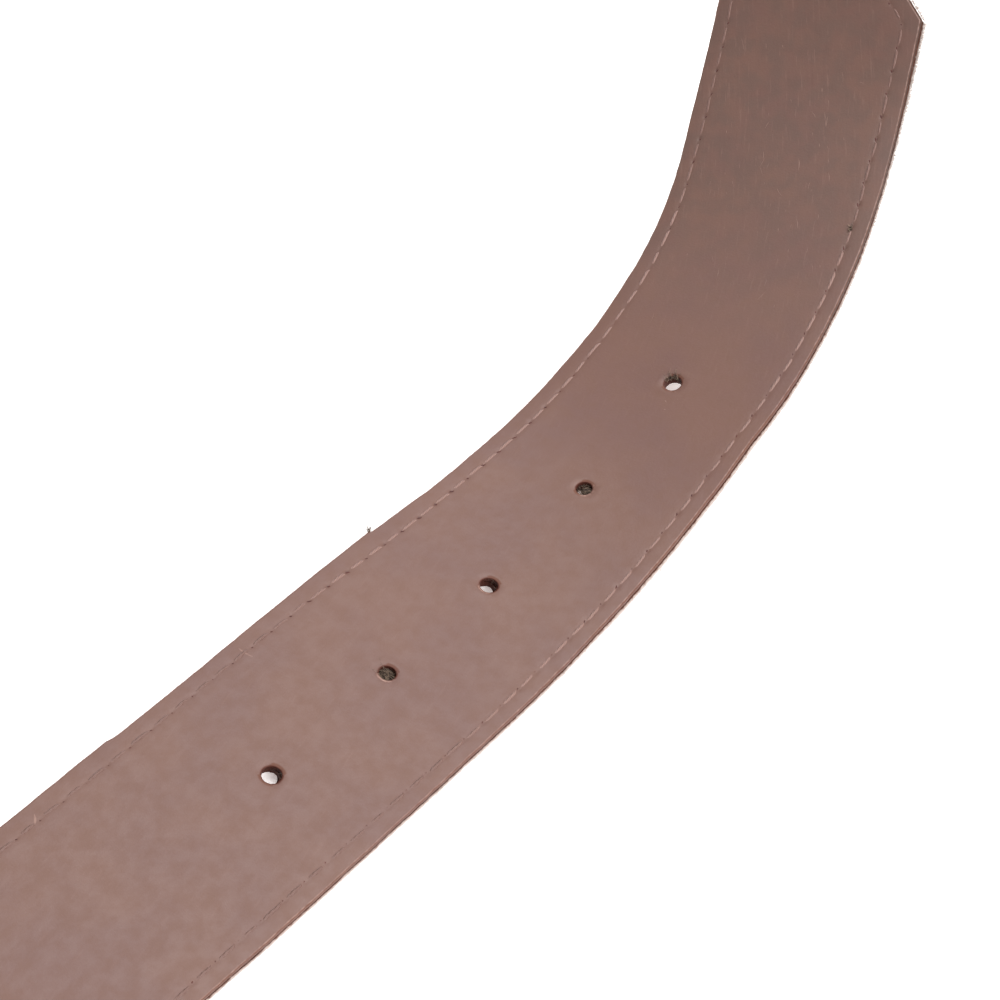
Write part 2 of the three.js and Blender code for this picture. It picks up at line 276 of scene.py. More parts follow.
def needleLine(side):
    # Needle holes as rising (station, y): the stitch count is the integral of 1/pitch back from the corner,
    # then equal steps lead up the slant to the apex of the inset outline
    sign = sides[side]
    inset = seam[side + "Inset"][-1]
    radius = strap["noseRadius"] - inset
    corner = noseCentre + (radius - (halfWidth - inset - sign * pointAxis) * pointCos) / pointSin
    back = np.arange(corner, strap["liningStart"] + inset, -0.25)
    count = np.concatenate([[0], np.cumsum(0.25 / alongSeam(back, side, "Pitch"))[:-1]])
    stations = np.interp(np.arange(int(count[-1]) + 1), count, back)[::-1]
    y = sign * (halfWidth - alongSeam(stations, side, "Inset"))
    share = np.arange(1, seam["pointStitches"] + 1) / seam["pointStitches"]
    slant = np.array([corner, sign * (halfWidth - inset)]) * (1 - share[:, None])
    slant = slant + np.array([noseCentre + radius, pointAxis]) * share[:, None]
    return np.concatenate([np.stack([stations, y], 1), slant])


needles = {side: needleLine(side) for side in sides}


def needleDents(station, y):
    # A Gaussian dent at each needle hole, from faint to full where the holes are torn
    dents = np.zeros(station.shape)
    for side, line in needles.items():
        strength = np.random.default_rng(len(line)).uniform(0.4, 1, len(line))
        strength = strength * alongSeam(line[:, 0], side, "Torn")
        after = np.clip(np.searchsorted(line[:, 0], station), 1, len(line) - 1)
        for at in (after - 1, after):
            gap = np.hypot(station - line[at, 0], y - line[at, 1]) / seam["needleRadius"]
            dents = np.maximum(dents, strength[at] * np.exp(-gap * gap))
    return dents


def seamRelief(station, y):
    # Height of a stitched face: a groove of Gaussian section along the seam, deeper at each needle hole,
    # and a margin outside it that falls with the square of the way to the edge and rolls a little
    inset = insetAt(station, y)
    seamInset = np.where(y > 0, alongSeam(station, "left", "Inset"), alongSeam(station, "right", "Inset"))
    sewn = easeBetween(station, strap["liningStart"], strap["liningStart"] + 2)
    groove = -seam["grooveDepth"] * np.exp(-(((inset - seamInset) / seam["grooveWidth"]) ** 2))
    # dark: the dents again, as the strength of the painted shade in the needle holes
    dark = needleDents(station, y) * sewn
    out = np.clip(1 - inset / seamInset, 0, 1)
    roll = seam["marginRoll"] * smoothNoise(station + 400 * np.sign(y), 9, 5) * out
    return sewn * groove - seam["needleDepth"] * dark - seam["marginDrop"] * out * out + roll, dark


def edgeTrim(station, sign, overhang=0.0):
    # The tabled cut with its slow and quick waves on top; a layer may stand out further round the point
    left, right = (np.interp(station, trim["at"], trim[side]) for side in sides)
    tabled = np.where(sign > 0, left, right)
    beyond = (station < trim["at"][0]) * 0.16 * smoothNoise(station + 500 * sign, 16, 7)
    waves = 0.035 * smoothNoise(station + 500 * sign, 1.8, 8)
    return tabled * (station >= trim["at"][0]) + beyond + waves + overhang * easeBetween(station, 96, 122)


def pieceMesh(name, points, faces, uv, marks):
    # points in mm; faces is a list of arrays, one row of corners per face; uv in mm per point
    corners = np.concatenate([group.ravel() for group in faces])
    sizes = np.concatenate([np.full(len(group), group.shape[1]) for group in faces])
    mesh = bpy.data.meshes.new(name)
    mesh.vertices.add(len(points))
    mesh.vertices.foreach_set("co", (points * mm).ravel())
    mesh.loops.add(len(corners))
    mesh.loops.foreach_set("vertex_index", corners.astype(np.int32))
    mesh.polygons.add(len(sizes))
    mesh.polygons.foreach_set("loop_start", np.concatenate([[0], np.cumsum(sizes)[:-1]]).astype(np.int32))
    mesh.update(calc_edges=True)
    mesh.uv_layers.new(name="surface").data.foreach_set("uv", (uv * mm)[corners].ravel())
    for mark, values in marks.items():
        mesh.attributes.new(mark, "FLOAT", "POINT").data.foreach_set("value", values.astype(np.float32))
    tidy = bmesh.new()
    tidy.from_mesh(mesh)
    bmesh.ops.remove_doubles(tidy, verts=tidy.verts, dist=1e-6)
    bmesh.ops.recalc_face_normals(tidy, faces=tidy.faces)
    tidy.to_mesh(mesh)
    tidy.free()
    mesh.polygons.foreach_set("use_smooth", np.ones(len(mesh.polygons), bool))
    mesh.set_sharp_from_angle(angle=math.radians(50))
    piece = bpy.data.objects.new(name, mesh)
    bpy.context.scene.collection.objects.link(piece)
    return piece


def gridFaces(rows, columns, first=0, closed=True):
    # Quads between neighbours of a grid, joined round across its columns if closed
    row = np.arange(rows - 1)[:, None]
    column = np.arange(columns if closed else columns - 1)[None, :]
    after = (column + 1) % columns
    here, ahead = row * columns, (row + 1) * columns
    quads = [here + column, here + after, ahead + after, ahead + column]
    return first + np.stack(np.broadcast_arrays(*quads), -1).reshape(-1, 4)


# Prong holes, an inch apart as punched by hand, and the prong's slot. straight is the half length of the
# middle part, block the half side of the grid block that becomes the hole.
fineStep = 25.4 / 72
holeTable = {
    "at": [-51.3, -25.4, -0.7, 25.3, 51.0],
    "y": [-1.4, -0.9, -0.9, -0.3, -0.6],
    "radius": [1.5, 1.34, 1.46, 1.37, 1.5],       # the choked ones have closed up a little
    "flare": [1.08, 1.05, 1.05, 1.0, 1.1],        # how much wider each is at the bottom
    "leanAlong": [0.14, 0.05, 0.02, 0.05, 0.12],  # the punch leaned: mm aside per mm down
    "leanAcross": [0.44, 0.3, 0.32, 0.3, 0.28],
    "paleCrescent": [0.3, 0.9, 0.7, 1.0, 0.5],            # how pale one side of the rim is
    "paleCrescentDegrees": [-160, -157, 172, -107, -140], # and on which side, 0 to the tail, 90 to the left
}
prongHoles = [
    {"station": round(at / fineStep) * fineStep, "y": y, "straight": 0.0, "block": 1.764, "radius": radius,
     "flare": flare, "lean": [along, across], "paleCrescent": paleCrescent, "paleCrescentDegrees": paleCrescentDegrees}
    for at, y, radius, flare, along, across, paleCrescent, paleCrescentDegrees in zip(*holeTable.values())
]
slotReach = 9.0
slotFold = wrapLength + (slotReach + wrapRadius * math.sin(fullTurn)) / math.cos(fold["slope"])
prongSlot = {
    "station": strap["barStation"] + (slotReach - slotFold) / 2,
    "y": 0.0,
    "straight": (slotReach + slotFold) / 2 - 3.0,
    "block": 3.0,
    "radius": 3.0,
    "flare": 1.0,
    "lean": [0.0, 0.0],
    "paleCrescent": 0.0,
    "paleCrescentDegrees": 0,
}
# The grid round a hole, as shares of its block, and the rings of its wall, as shares of the way down
holeRings = {
    "fade": 2.6,
    "columns": np.linspace(-1, 1, 11),
    "around": np.array([1.3, 1.75, 2.6]),
    "depths": (0.16, 0.42, 0.7, 0.9),
    "jitter": 0.035,
}
innerInset = 5.0         # where the margins end
farAway = 99.0           # the share of places that no hole reaches


def innerColumns(station, slotted, full):
    # Columns between the margins: a block that fits the holes, widened to the slot near the bar,
    # a few rings round it and two more out to the margins
    ease = easeBetween(station, -880, -860) if slotted else np.ones_like(station)
    knots = np.array(holeTable["at"])[:, None] + np.array([-5, 5])
    centre = (ease * np.interp(station, knots.ravel(), np.repeat(holeTable["y"], 2)))[:, None]
    half = (prongSlot["block"] + (prongHoles[0]["block"] - prongSlot["block"]) * ease)[:, None]
    around = holeRings["around"] if full else holeRings["around"][1:2]
    far = np.array([9.0, 11.7]) if full else np.array([9.5])
    shares = np.concatenate([-around[::-1], holeRings["columns"], around])
    outer = np.repeat(far[None, :], len(station), 0)
    whole = np.concatenate([-outer[:, ::-1], centre + half * shares, outer], 1)
    right, left = edgesAt(station, innerInset)
    share = (whole + halfWidth - innerInset) / (2 * (halfWidth - innerInset))
    return right[:, None] + (left - right)[:, None] * share


def sideColumns(station, insets, seamed, side):
    # Columns along one margin, at fixed distances from the edge; those of a seam move with it
    insets = np.array(insets)[None, :]
    if seamed:
        move = alongSeam(station, side, "Inset")[:, None] - 2.69
        insets = insets + move * easeBetween(insets, 0.8, 2.1) * easeBetween(-insets, -5, -3.4)
    right, left = edgesAt(station[:, None], insets)
    return left if side == "left" else right


def blockShare(station, y, hole):
    # How far out a grid point is, as a share of the hole's block: 1 on the block's edge
    along = np.clip(np.abs(station - hole["station"]) - hole["straight"], 0, None)
    return along, np.maximum(along, np.abs(y - hole["y"])) / hole["block"]


def roundHole(station, y, hole, depth):
    # Squares round the hole become circles: (along, across) is scaled so that the block's edge lands on
    # the radius, then shifted by lean x depth; both changes fade out with distance
    along, share = blockShare(station, y, hole)
    across = y - hole["y"]
    length = np.maximum(np.hypot(along, across), 1e-9)
    circle = hole["radius"] * (1 + (hole["flare"] - 1) * depth / -faceBottom) * share / length
    fade = 1 - easeBetween(share, 1, holeRings["fade"])
    scale = 1 + (circle - 1) * fade
    alongShift, acrossShift = (part * fade * depth for part in hole["lean"])
    moved = station + along * (scale - 1) * np.sign(station - hole["station"]) + alongShift
    near = share < holeRings["fade"]
    return np.where(near, moved, station), np.where(near, hole["y"] + across * scale + acrossShift, y)


def rimRelief(share):
    # The punch presses the very edge in and leaves a low ring round it
    ring = 0.06 * np.exp(-(((share - 1.45) / 0.3) ** 2))
    return ring - 0.13 * np.exp(-(((share - 1) / 0.16) ** 2))


def layerLoops(rows, section, slotted):
    # One loop of places per row: seen from the tail it runs over the bottom to the left, up the left edge,
    # back over the top and down the right edge. kind is -1 on the bottom, 0 on an edge and 1 on top
    stitchedTop = section["stitched"] > 0
    innerTop = innerColumns(rows, slotted, stitchedTop)
    innerBottom = innerColumns(rows, slotted, not stitchedTop)

    def margin(key, side, seamed=False):
        return sideColumns(rows, section[key], seamed, side)

    acrossBottom = np.concatenate([
        margin("bottomInsets", "right", not stitchedTop), innerBottom,
        margin("bottomInsets", "left", not stitchedTop)[:, ::-1],
    ], 1)
    acrossTop = np.concatenate([
        margin("topInsets", "right", stitchedTop), innerTop,
        margin("topInsets", "left", stitchedTop)[:, ::-1],
    ], 1)[:, ::-1]
    y = np.concatenate([
        acrossBottom, margin("wallInsets", "left"), acrossTop, margin("wallInsets", "right")[:, ::-1],
    ], 1)
    wallHeights = np.array(section["wallHeights"])
    counts = [acrossBottom.shape[1], len(wallHeights), acrossTop.shape[1], len(wallHeights)]
    height = np.concatenate([
        np.full(counts[0], section["bottom"]), wallHeights,
        np.full(counts[2], section["top"]), wallHeights[::-1],
    ])
    side = np.concatenate([
        np.repeat([-1, 1], [counts[0] // 2, counts[0] - counts[0] // 2]), np.ones(counts[1]),
        np.repeat([1, -1], [counts[2] // 2, counts[2] - counts[2] // 2]), -np.ones(counts[3]),
    ])
    kind = np.repeat([-1, 0, 1, 0], counts)
    station = np.repeat(rows[:, None], y.shape[1], 1)
    height, kind, side = (np.repeat(part[None, :], len(rows), 0) for part in (height, kind, side))
    blockWidth = len(holeRings["columns"])
    topFirst = counts[0] + counts[1] + len(section["topInsets"]) + (innerTop.shape[1] - blockWidth) // 2
    bottomFirst = len(section["bottomInsets"]) + (innerBottom.shape[1] - blockWidth) // 2
    return station, y, height, kind, side, topFirst, bottomFirst


def blockRing(rows, hole):
    # The grid's rows and columns once round the hole's block, from its first corner on
    last = len(holeRings["columns"]) - 1
    inside = np.flatnonzero(np.abs(rows - hole["station"]) < hole["straight"] + hole["block"] + 0.01)
    stretch = inside[:-1]
    ringRows = np.concatenate([
        stretch, np.full(last, inside[-1]), inside[:0:-1], np.full(last, inside[0]),
    ])
    ringColumns = np.concatenate([
        np.zeros(len(stretch), int), np.arange(last), np.full(len(stretch), last), np.arange(last, 0, -1),
    ])
    return ringRows, ringColumns


def leatherLayer(name, rows, section, surface, holes, slotted=False):
    # A closed skin over the rows of loops. The grid's squares inside a hole's block are left out, the rest
    # is drawn round the hole, and rings of new points between top and bottom make its wall
    station, y, height, kind, side, topFirst, bottomFirst = layerLoops(rows, section, slotted)
    columns = y.shape[1]

    share = np.full(y.shape, farAway)
    paleCrescent = np.zeros(y.shape)
    for hole in holes:
        near = np.where(kind == 0, farAway, blockShare(station, y, hole)[1])
        share = np.minimum(share, near)
        turn = np.arctan2(y - hole["y"], station - hole["station"]) - math.radians(hole["paleCrescentDegrees"])
        # a paler crescent on one side of the rim
        crescent = np.exp(-(((near - 1.12) / 0.16) ** 2)) * (0.5 + 0.5 * np.cos(turn)) ** 1.5
        paleCrescent += hole["paleCrescent"] * crescent
    for hole in holes:
        moved = roundHole(station, y, hole, -height)
        station, y = (
            np.where(kind == 0, before, after) for before, after in zip((station, y), moved)
        )

    faces = gridFaces(len(rows), columns)
    faces = faces[share.ravel()[faces].max(1) > 1.0001]
    station, y, height, kind = (grid.ravel() for grid in (station, y, height, kind))
    share, side, paleCrescent = (grid.ravel() for grid in (share, side, paleCrescent))

    relief, dark = seamRelief(station, y)
    onSewn = kind == section["stitched"]
    onEdge = kind == 0
    height = height + np.where(onSewn, section["stitched"] * relief, 0)
    height = height + np.where(kind != 0, kind * rimRelief(share), 0)
    inset = insetAt(station, y)
    outer = np.exp(-np.clip(inset, 0, None) / 2.5) * easeBetween(np.abs(y - pointAxis), 0, 4)
    rough = section["roughness"] * np.random.default_rng(11).uniform(-1, 1, len(y)) * onEdge
    rough = rough * easeBetween(np.abs(y - pointAxis), 0, 1.5)
    depth = (section["top"] - height) / (section["top"] - section["bottom"])
    clean = section["cleanCut"] * easeBetween(-station, -85, -55)
    marks = {
        # painted shade in the needle dents
        "needle": np.where(onSewn, dark, 0),
        # lip: the burnished lip of the cut edge, also painted paler as a highlight
        "lip": np.where(onSewn, np.exp(-np.clip(inset, 0, None) / 0.15), np.exp(-depth / 0.1) * onEdge),
        "cut": np.where(onEdge, depth, 0) * (1 - clean),
        # painted shade: the hole walls and the very rim round them are darkened
        "boreShade": np.exp(-np.clip(share - 1, 0, None) / 0.05) * (kind != 0),
        "paleCrescent": paleCrescent * onSewn,
        "raw": np.maximum(onEdge, share < 1.2),
        "alongBelt": station,
    }
    # painted highlight: full along the right edge, on the left only towards the point
    marks["lip"] *= np.where(side < 0, 1, 0.1 + 0.9 * easeBetween(station, 112, 126))
    y = y + side * (edgeTrim(station, side, section["overhang"]) * outer + rough)

    last = len(holeRings["columns"]) - 1
    groups = [faces]
    for hole in holes:
        ringRows, ringColumns = blockRing(rows, hole)
        topRing = ringRows * columns + topFirst + last - ringColumns
        bottomRing = ringRows * columns + bottomFirst + ringColumns
        rings = [topRing]
        for down in holeRings["depths"]:
            first = len(station)
            jitter = 1 + holeRings["jitter"] * np.random.default_rng(first).uniform(-1, 1, len(topRing))
            centred = station[topRing] - station[topRing].mean()
            along = np.clip(np.abs(centred) - hole["straight"], 0, None) * np.sign(centred)
            between = height[topRing] * (1 - down) + height[bottomRing] * down
            station = np.concatenate([station, station[topRing] + along * (jitter - 1)])
            y = np.concatenate([y, y[topRing] + (y[topRing] - y[topRing].mean()) * (jitter - 1)])
            height = np.concatenate([height, between])
            for mark, values in marks.items():
                inBore = np.full(len(topRing), mark in ("boreShade", "raw"))
                values = values[topRing] if mark == "alongBelt" else inBore
                marks[mark] = np.concatenate([marks[mark], values])
            rings.append(np.arange(first, len(station)))
        rings.append(bottomRing)
        for upper, lower in zip(rings[:-1], rings[1:]):
            groups.append(np.stack([upper, np.roll(upper, -1), np.roll(lower, -1), lower], 1))
    groups.append(np.arange(columns)[None, ::-1])
    groups.append((len(rows) - 1) * columns + np.arange(columns)[None, :])
    kind = np.concatenate([kind, np.zeros(len(station) - len(kind))])
    across = y + 60 * (kind < 0) + (kind == 0) * np.sign(y) * (section["top"] - height)
    return pieceMesh(name, surface(station, y, height), groups, np.stack([station, across], 1), marks)


def mergedRows(kept, filled, closest=0.12):
    # The kept rows, and those filled rows that aren't almost on one of them
    gaps = np.abs(np.asarray(filled)[:, None] - np.asarray(kept)[None, :]).min(1)
    return np.sort(np.concatenate([kept, np.asarray(filled)[gaps > closest]]))


fineStart = -116.0
nose = tipStation - np.array([0.004, 0.05, 0.14, 0.28, 0.5])
fineRows = fineStep * np.arange(math.ceil(fineStart / fineStep), int((tipStation - 0.7) / fineStep))
coarseRows = fineStart - seam["rightPitch"][0] / 2 * np.arange(1, 400)


def beltRows(start):
    coarse = coarseRows[(coarseRows > start + 0.3) & (coarseRows < fineStart - 0.3)]
    shoulders = [strap["rightShoulder"], strap["leftShoulder"]]
    return mergedRows(np.concatenate([[start], shoulders, nose]), np.concatenate([coarse, fineRows]))


seamInsets = [0.15, 0.28, 0.55, 1.1, 1.75, 2.15, 2.4, 2.56, 2.69, 2.82, 2.98, 3.25, 3.8, innerInset]
# roughness: how ragged the cut edge is; overhang: how far it stands out round the point;
# cleanCut: how much of the colour change down the cut edge is left out away from the point
liningSection = {
    "top": 0.0,
    "bottom": liningBottom,
    "stitched": 1,
    "roughness": 0.012,
    "overhang": 0.0,
    "cleanCut": 0.8,
    "topInsets": seamInsets,
    "bottomInsets": [0.3, innerInset],
    "wallInsets": [0.12, 0.03, 0.0, 0.02, 0.06],
    "wallHeights": [-0.99, -0.9, -0.5, -0.25, -0.1],
}
liningRows = beltRows(strap["liningStart"])
liningLeather = leatherLayer("liningLeather", liningRows, liningSection, strapPoints, prongHoles)
print("lining:", len(liningLeather.data.polygons), "faces")

faceSection = {
    "top": faceTop,
    "bottom": faceBottom,
    "stitched": -1,
    "roughness": 0.05,
    "overhang": 0.25,
    "cleanCut": 0.0,
    "topInsets": [0.3, innerInset],
    "bottomInsets": [0.5, 0.6, 0.8] + seamInsets[3:],
    "wallInsets": [0.28, 0.1, 0.0, 0.0, 0.08],
    "wallHeights": [faceBottom + 0.2, faceBottom + 0.3, faceBottom + 0.6, faceTop - 0.4, faceTop - 0.05],
}
slotShares = np.concatenate([np.arange(6) / 5, holeRings["around"]])
slotEnds = prongSlot["straight"] + prongSlot["block"] * slotShares
slotMiddle = np.linspace(-1, 1, 25)[1:-1] * prongSlot["straight"]
slotRows = prongSlot["station"] + np.concatenate([-slotEnds[::-1], slotMiddle, slotEnds])
faceRows = mergedRows(
    slotRows,
    np.concatenate([np.arange(foldEnd, slotRows[0], 1.5), beltRows(slotRows[-1] + 1.5)]),
    0.5,
)
faceLeather = leatherLayer(
    "faceLeather", faceRows, faceSection, facePoints, [*prongHoles, prongSlot], slotted=True,
)
print("face:", len(faceLeather.data.polygons), "faces")


def tubeRun(centres, lateral, profile, surface):
    # Closed tubes, one per row of centres, in strap coordinates: each ring is centre + profile x lateral +
    # profile z up. centres (tubes, steps, 3) hold station, y and height; lateral (tubes, 2) is across each
    # tube; profile is (steps, sides, 2)
    tubes, steps = centres.shape[:2]
    corners = profile.shape[1]
    ring = np.zeros((tubes, steps, corners, 3))
    ring[..., :2] = lateral[:, None, None, :] * profile[None, ..., :1]
    ring[..., 2] = profile[None, ..., 1]
    ring += centres[:, :, None, :]
    flat = ring.reshape(-1, 3)
    points = surface(flat[:, 0], flat[:, 1], flat[:, 2])
    offsets = (np.arange(tubes) * steps * corners)[:, None, None]
    quads = (gridFaces(steps, corners)[None] + offsets).reshape(-1, 4)
    caps = np.stack([np.arange(corners)[::-1], (steps - 1) * corners + np.arange(corners)])
    caps = (caps[None] + offsets).reshape(-1, corners)
    along = np.repeat(np.linspace(0, 1, steps)[None, :, None], tubes, 0) * np.ones(corners)
    around = np.ones((tubes, steps, 1)) * np.linspace(0, 1, corners)
    return points, [quads, caps], np.stack([along.ravel(), around.ravel()], 1)


def circle(corners):
    angle = np.linspace(0, 2 * math.pi, corners, endpoint=False)
    return np.stack([np.cos(angle), np.sin(angle)], 1)


# How the stitches differ from each other, in mm
stitch = {
    "powers": (1.8, 4),          # from round to flat on top
    "uneven": (-0.08, 0.03),     # how much lower or higher one stands
    "pointDrop": 0.04,           # how much deeper they lie towards the point
    "skew": 0.04,
    "slant": 0.05,
    "gap": 0.12,                 # largest part of a stitch that its hole takes at each end
    "flat": [1.3, 0.8],          # the thread is pressed flat
}


def stitchTubes(line, sign, base, outward, surface, steps, corners, rise, sink):
    # Each stitch runs from one needle hole to the next, t from 0 to 1. Its height is
    # base + outward (arch (lift + sink) - sink) with arch = 1 - |2t - 1|^power, and it turns inward by
    # hook e², e rising over the last quarter
    draw = np.random.default_rng(len(line))
    start = line[:-1]
    end = line[1:]
    t = np.linspace(0, 1, steps)[None, :]
    direction = (end - start) / np.linalg.norm(end - start, axis=1)[:, None]
    lateral = np.stack([-direction[:, 1], direction[:, 0]], 1)
    last = easeBetween(t, 0.74, 1)
    aside = -sign * seam["hook"] * last ** 2 + sign * 0.06 * (1 - last)
    each = (len(start), 1)
    skew = draw.normal(0, stitch["skew"], each) + draw.normal(0, stitch["slant"], each) * (2 * t - 1)
    power = draw.uniform(*stitch["powers"], each)
    lift = rise + draw.uniform(*stitch["uneven"], each)
    lift = lift - stitch["pointDrop"] * easeBetween(start[:, :1], 76, 92)
    gap = draw.uniform(0, stitch["gap"], (2, *each))
    along = gap[0] + (1 - gap[0] - gap[1]) * t
    places = start[:, None, :] + (end - start)[:, None, :] * along[..., None]
    places = places + lateral[:, None, :] * (aside + skew)[..., None]
    arch = 1 - np.abs(2 * t - 1) ** power
    heights = base + outward * (arch * (lift + sink) - sink)
    centres = np.concatenate([places, heights[..., None]], 2)
    radius = seam["threadRadius"] * (0.8 + 0.2 * (1 - (2 * t[0] - 1) ** 4))
    profile = radius[:, None, None] * circle(corners) * stitch["flat"]
    return tubeRun(centres, lateral, profile, surface)


def joinedPiece(name, parts):
    # Several (points, faces, uv) sets as one mesh, with the station of each point kept as a mark
    offset = 0
    points, faces, uvs = [], [], []
    for partPoints, partFaces, partUv in parts:
        points.append(partPoints)
        faces.extend(group + offset for group in partFaces)
        uvs.append(partUv)
        offset += len(partPoints)
    points = np.concatenate(points)
    return pieceMesh(name, points, faces, np.concatenate(uvs), {"alongBelt": points[:, 0] - beltShift[0]})


liningStitches = joinedPiece("liningStitches", [
    stitchTubes(needles[side], sides[side], 0.0, 1, strapPoints, 13, 8, -0.025, 0.28) for side in sides
])


def slitTubes(line, side):
    # Painted shadow in the torn end of each needle hole: a dark flat lens along and inward, radius (1 - (2t
    # - 1)²)
    sign = sides[side]
    t = np.linspace(0, 1, 5)
    draw = np.random.default_rng(77)
    direction = np.array([math.cos(0.45), -sign * math.sin(0.45)])
    torn = alongSeam(line[:, 0], side, "Torn")[:, None, None]
    length = 0.1 + torn * (0.25 + 0.8 * draw.uniform(0, 1, (len(line), 1, 1)) ** 1.3)
    centre = line[:, None, :] + direction * length * (t[None, :, None] - 0.6)
    centre = centre - [0, sign * seam["hook"] * 0.5]
    sunk = np.broadcast_to(-0.14 + 0.07 * np.minimum(torn, 1), (*centre.shape[:2], 1))
    centres = np.concatenate([centre, sunk], 2)
    radius = 1 - (2 * t - 1) ** 2 * 0.85
    profile = radius[:, None, None] * circle(6) * [0.13, 0.07]
    lateral = np.tile([-direction[1], direction[0]], (len(line), 1))
    return tubeRun(centres, lateral, profile, strapPoints)


# dark lenses that paint the shadow in the needle holes
needleSlits = joinedPiece("needleSlits", [slitTubes(needles[side][:-1], side) for side in sides])
seamKnot = {"place": [88.1, -16.4, 0.0], "ends": 44}

# Two rows across the turned-back end hold the buckle
foldRow = {"stations": [foldEnd + 3.0, foldEnd + 33.0], "stitches": 8, "half": halfWidth - 2.7}


def crossLine(station):
    y = np.linspace(-foldRow["half"], foldRow["half"], foldRow["stitches"] + 1)
    return np.stack([np.full_like(y, station), y], 1)


def underStitches(line, sign, rise, sink):
    return stitchTubes(line, sign, faceBottom, -1, facePoints, 9, 6, rise, sink)


faceStitches = joinedPiece("faceStitches", [
    *(underStitches(needles[side], sides[side], -0.16, 0.42) for side in sides),
    *(underStitches(crossLine(station), 1, 0.1, 0.3) for station in foldRow["stations"]),
])
print("stitches:", len(liningStitches.data.polygons) + len(faceStitches.data.polygons), "faces")


def outlinePath(inset, step):
    # The inset outline from the start up the right side, round the point and back down the left:
    # (station, y) and the outward direction at each place
    radius = strap["noseRadius"] - inset
    sweep = np.linspace(math.pi / 2 - math.radians(strap["pointHalfAngle"]), 0, 7)
    paths, normals = [], []
    for side, sign in sides.items():
        corner = noseCentre + (radius - (halfWidth - inset - sign * pointAxis) * pointCos) / pointSin
        straight = np.arange(strap["liningStart"] + inset, corner, step)
        slanted = np.arange(corner, noseCentre + radius * pointSin, step * pointCos)
        stations = np.concatenate([straight, slanted, noseCentre + radius * np.cos(sweep)])
        half = (radius - (slanted - noseCentre) * pointSin) / pointCos
        y = np.concatenate([
            np.full(len(straight), sign * (halfWidth - inset)), pointAxis + sign * half,
            pointAxis + sign * radius * np.sin(sweep),
        ])
        paths.append(np.stack([stations, y], 1))
        normals.append(np.concatenate([
            np.tile([0, sign * 1.0], (len(straight), 1)),
            np.tile([pointSin, sign * pointCos], (len(slanted), 1)),
            np.stack([np.cos(sweep), sign * np.sin(sweep)], 1),
        ]))
    path = np.concatenate([paths[1], paths[0][-2::-1]])
    outward = np.concatenate([normals[1], normals[0][-2::-1]])
    return path, outward


# The film of adhesive between the leathers, coloured dark also as painted shade of the gap, which shows as
# a dark line in the cut edge and the holes
glue = {"inset": 0.2, "width": 2.0, "clearance": 0.02, "ringWidth": 0.8, "overhang": 0.1}


def glueFilm():
    path, normals = outlinePath(glue["inset"], 1.5)
    top = liningBottom - glue["clearance"]
    bottom = faceTop + glue["clearance"]
    inward = np.array([0, 0, 1, 1]) * glue["width"]
    levels = np.array([bottom, top, top, bottom])
    plane = path[:, None, :] - normals[:, None, :] * inward[None, :, None]
    across = plane[..., 1] - pointAxis
    crossed = np.sign(across) * np.sign(path[:, 1:] - pointAxis) < 0
    plane[..., 1] = np.where(crossed, pointAxis, plane[..., 1])
    trimmed = edgeTrim(path[:, 0], np.sign(path[:, 1] - pointAxis), glue["overhang"])
    plane = plane + normals[:, None, :] * trimmed[:, None, None]
    heights = np.broadcast_to(levels[None, :, None], (*plane.shape[:2], 1))
    flat = np.concatenate([plane, heights], 2).reshape(-1, 3)
    strip = strapPoints(flat[:, 0], flat[:, 1], flat[:, 2])
    farEnd = (len(path) - 1) * 4 + np.array([[0, 1, 2, 3]])
    faces = [gridFaces(len(path), 4), np.array([[3, 2, 1, 0]]), farEnd]
    parts = [(strip, faces, flat[:, :2])]
    round40 = circle(40)
    for hole in prongHoles:
        radii = hole["radius"] * hole["flare"] + 0.08 + np.array([0, 0, 1, 1]) * glue["ringWidth"]
        station = hole["station"] - hole["lean"][0] * liningBottom + radii[None, :] * round40[:, :1]
        y = hole["y"] - hole["lean"][1] * liningBottom + radii[None, :] * round40[:, 1:]
        height = np.repeat(levels[None, :], len(round40), 0)
        ring = strapPoints(station.ravel(), y.ravel(), height.ravel())
        quads = gridFaces(len(round40) + 1, 4) % (len(round40) * 4)
        parts.append((ring, [quads], np.stack([station.ravel(), y.ravel()], 1)))
    return joinedPiece("glueFilm", parts)


glueLine = glueFilm()

# Loose fibres of the raw cut edge, thickest round the point. perHole counts those of each hole from the
# buckle's side on; packed gives the dust in the choked ones: reach, aside along and across, depth
fibres = {
    "at": [-904, -120, 20, 60, 95, 118, 150],
    "leftPerMm": [0.4, 1, 1.5, 2, 3, 4, 6],
    "rightPerMm": [0.4, 4, 6, 8, 26, 64, 64],
    "longest": [0.25, 0.25, 0.3, 0.35, 0.5, 0.7, 0.7],
    "perHole": [16, 230, 12, 70, 10],
    "packed": {1: (1.34, 0.0, 0.0, 1.1), 3: (0.95, 0.35, -0.5, 1.2)},
    "flap": 70,                           # shreds torn up beside the last hole
    "nick": -6.3,
}


def fibreStrands(root, outward, length, seed, radius=0.03, spread=0.4):
    # A strand leaves its root along outward and curls: root + length (t outward + t² curl)
    draw = np.random.default_rng(seed)
    count = len(root)
    share = np.linspace(0, 1, 4)[None, :, None]
    way = share * length[:, None, None]
    direction = outward + draw.normal(0, spread, (count, 3))
    curl = draw.normal(0, 0.3, (count, 3)) + [0, 0, -0.05]
    centres = root[:, None, :] + way * direction[:, None, :] + way * share * curl[:, None, :]
    centres[..., 2] = np.maximum(centres[..., 2], faceBottom + 0.05)
    lateral = np.stack([np.ones(count), np.zeros(count)], 1)
    taper = np.array([1, 0.9, 0.7, 0.25])[:, None, None] * radius
    return tubeRun(centres, lateral, taper * circle(3)[None], strapPoints)


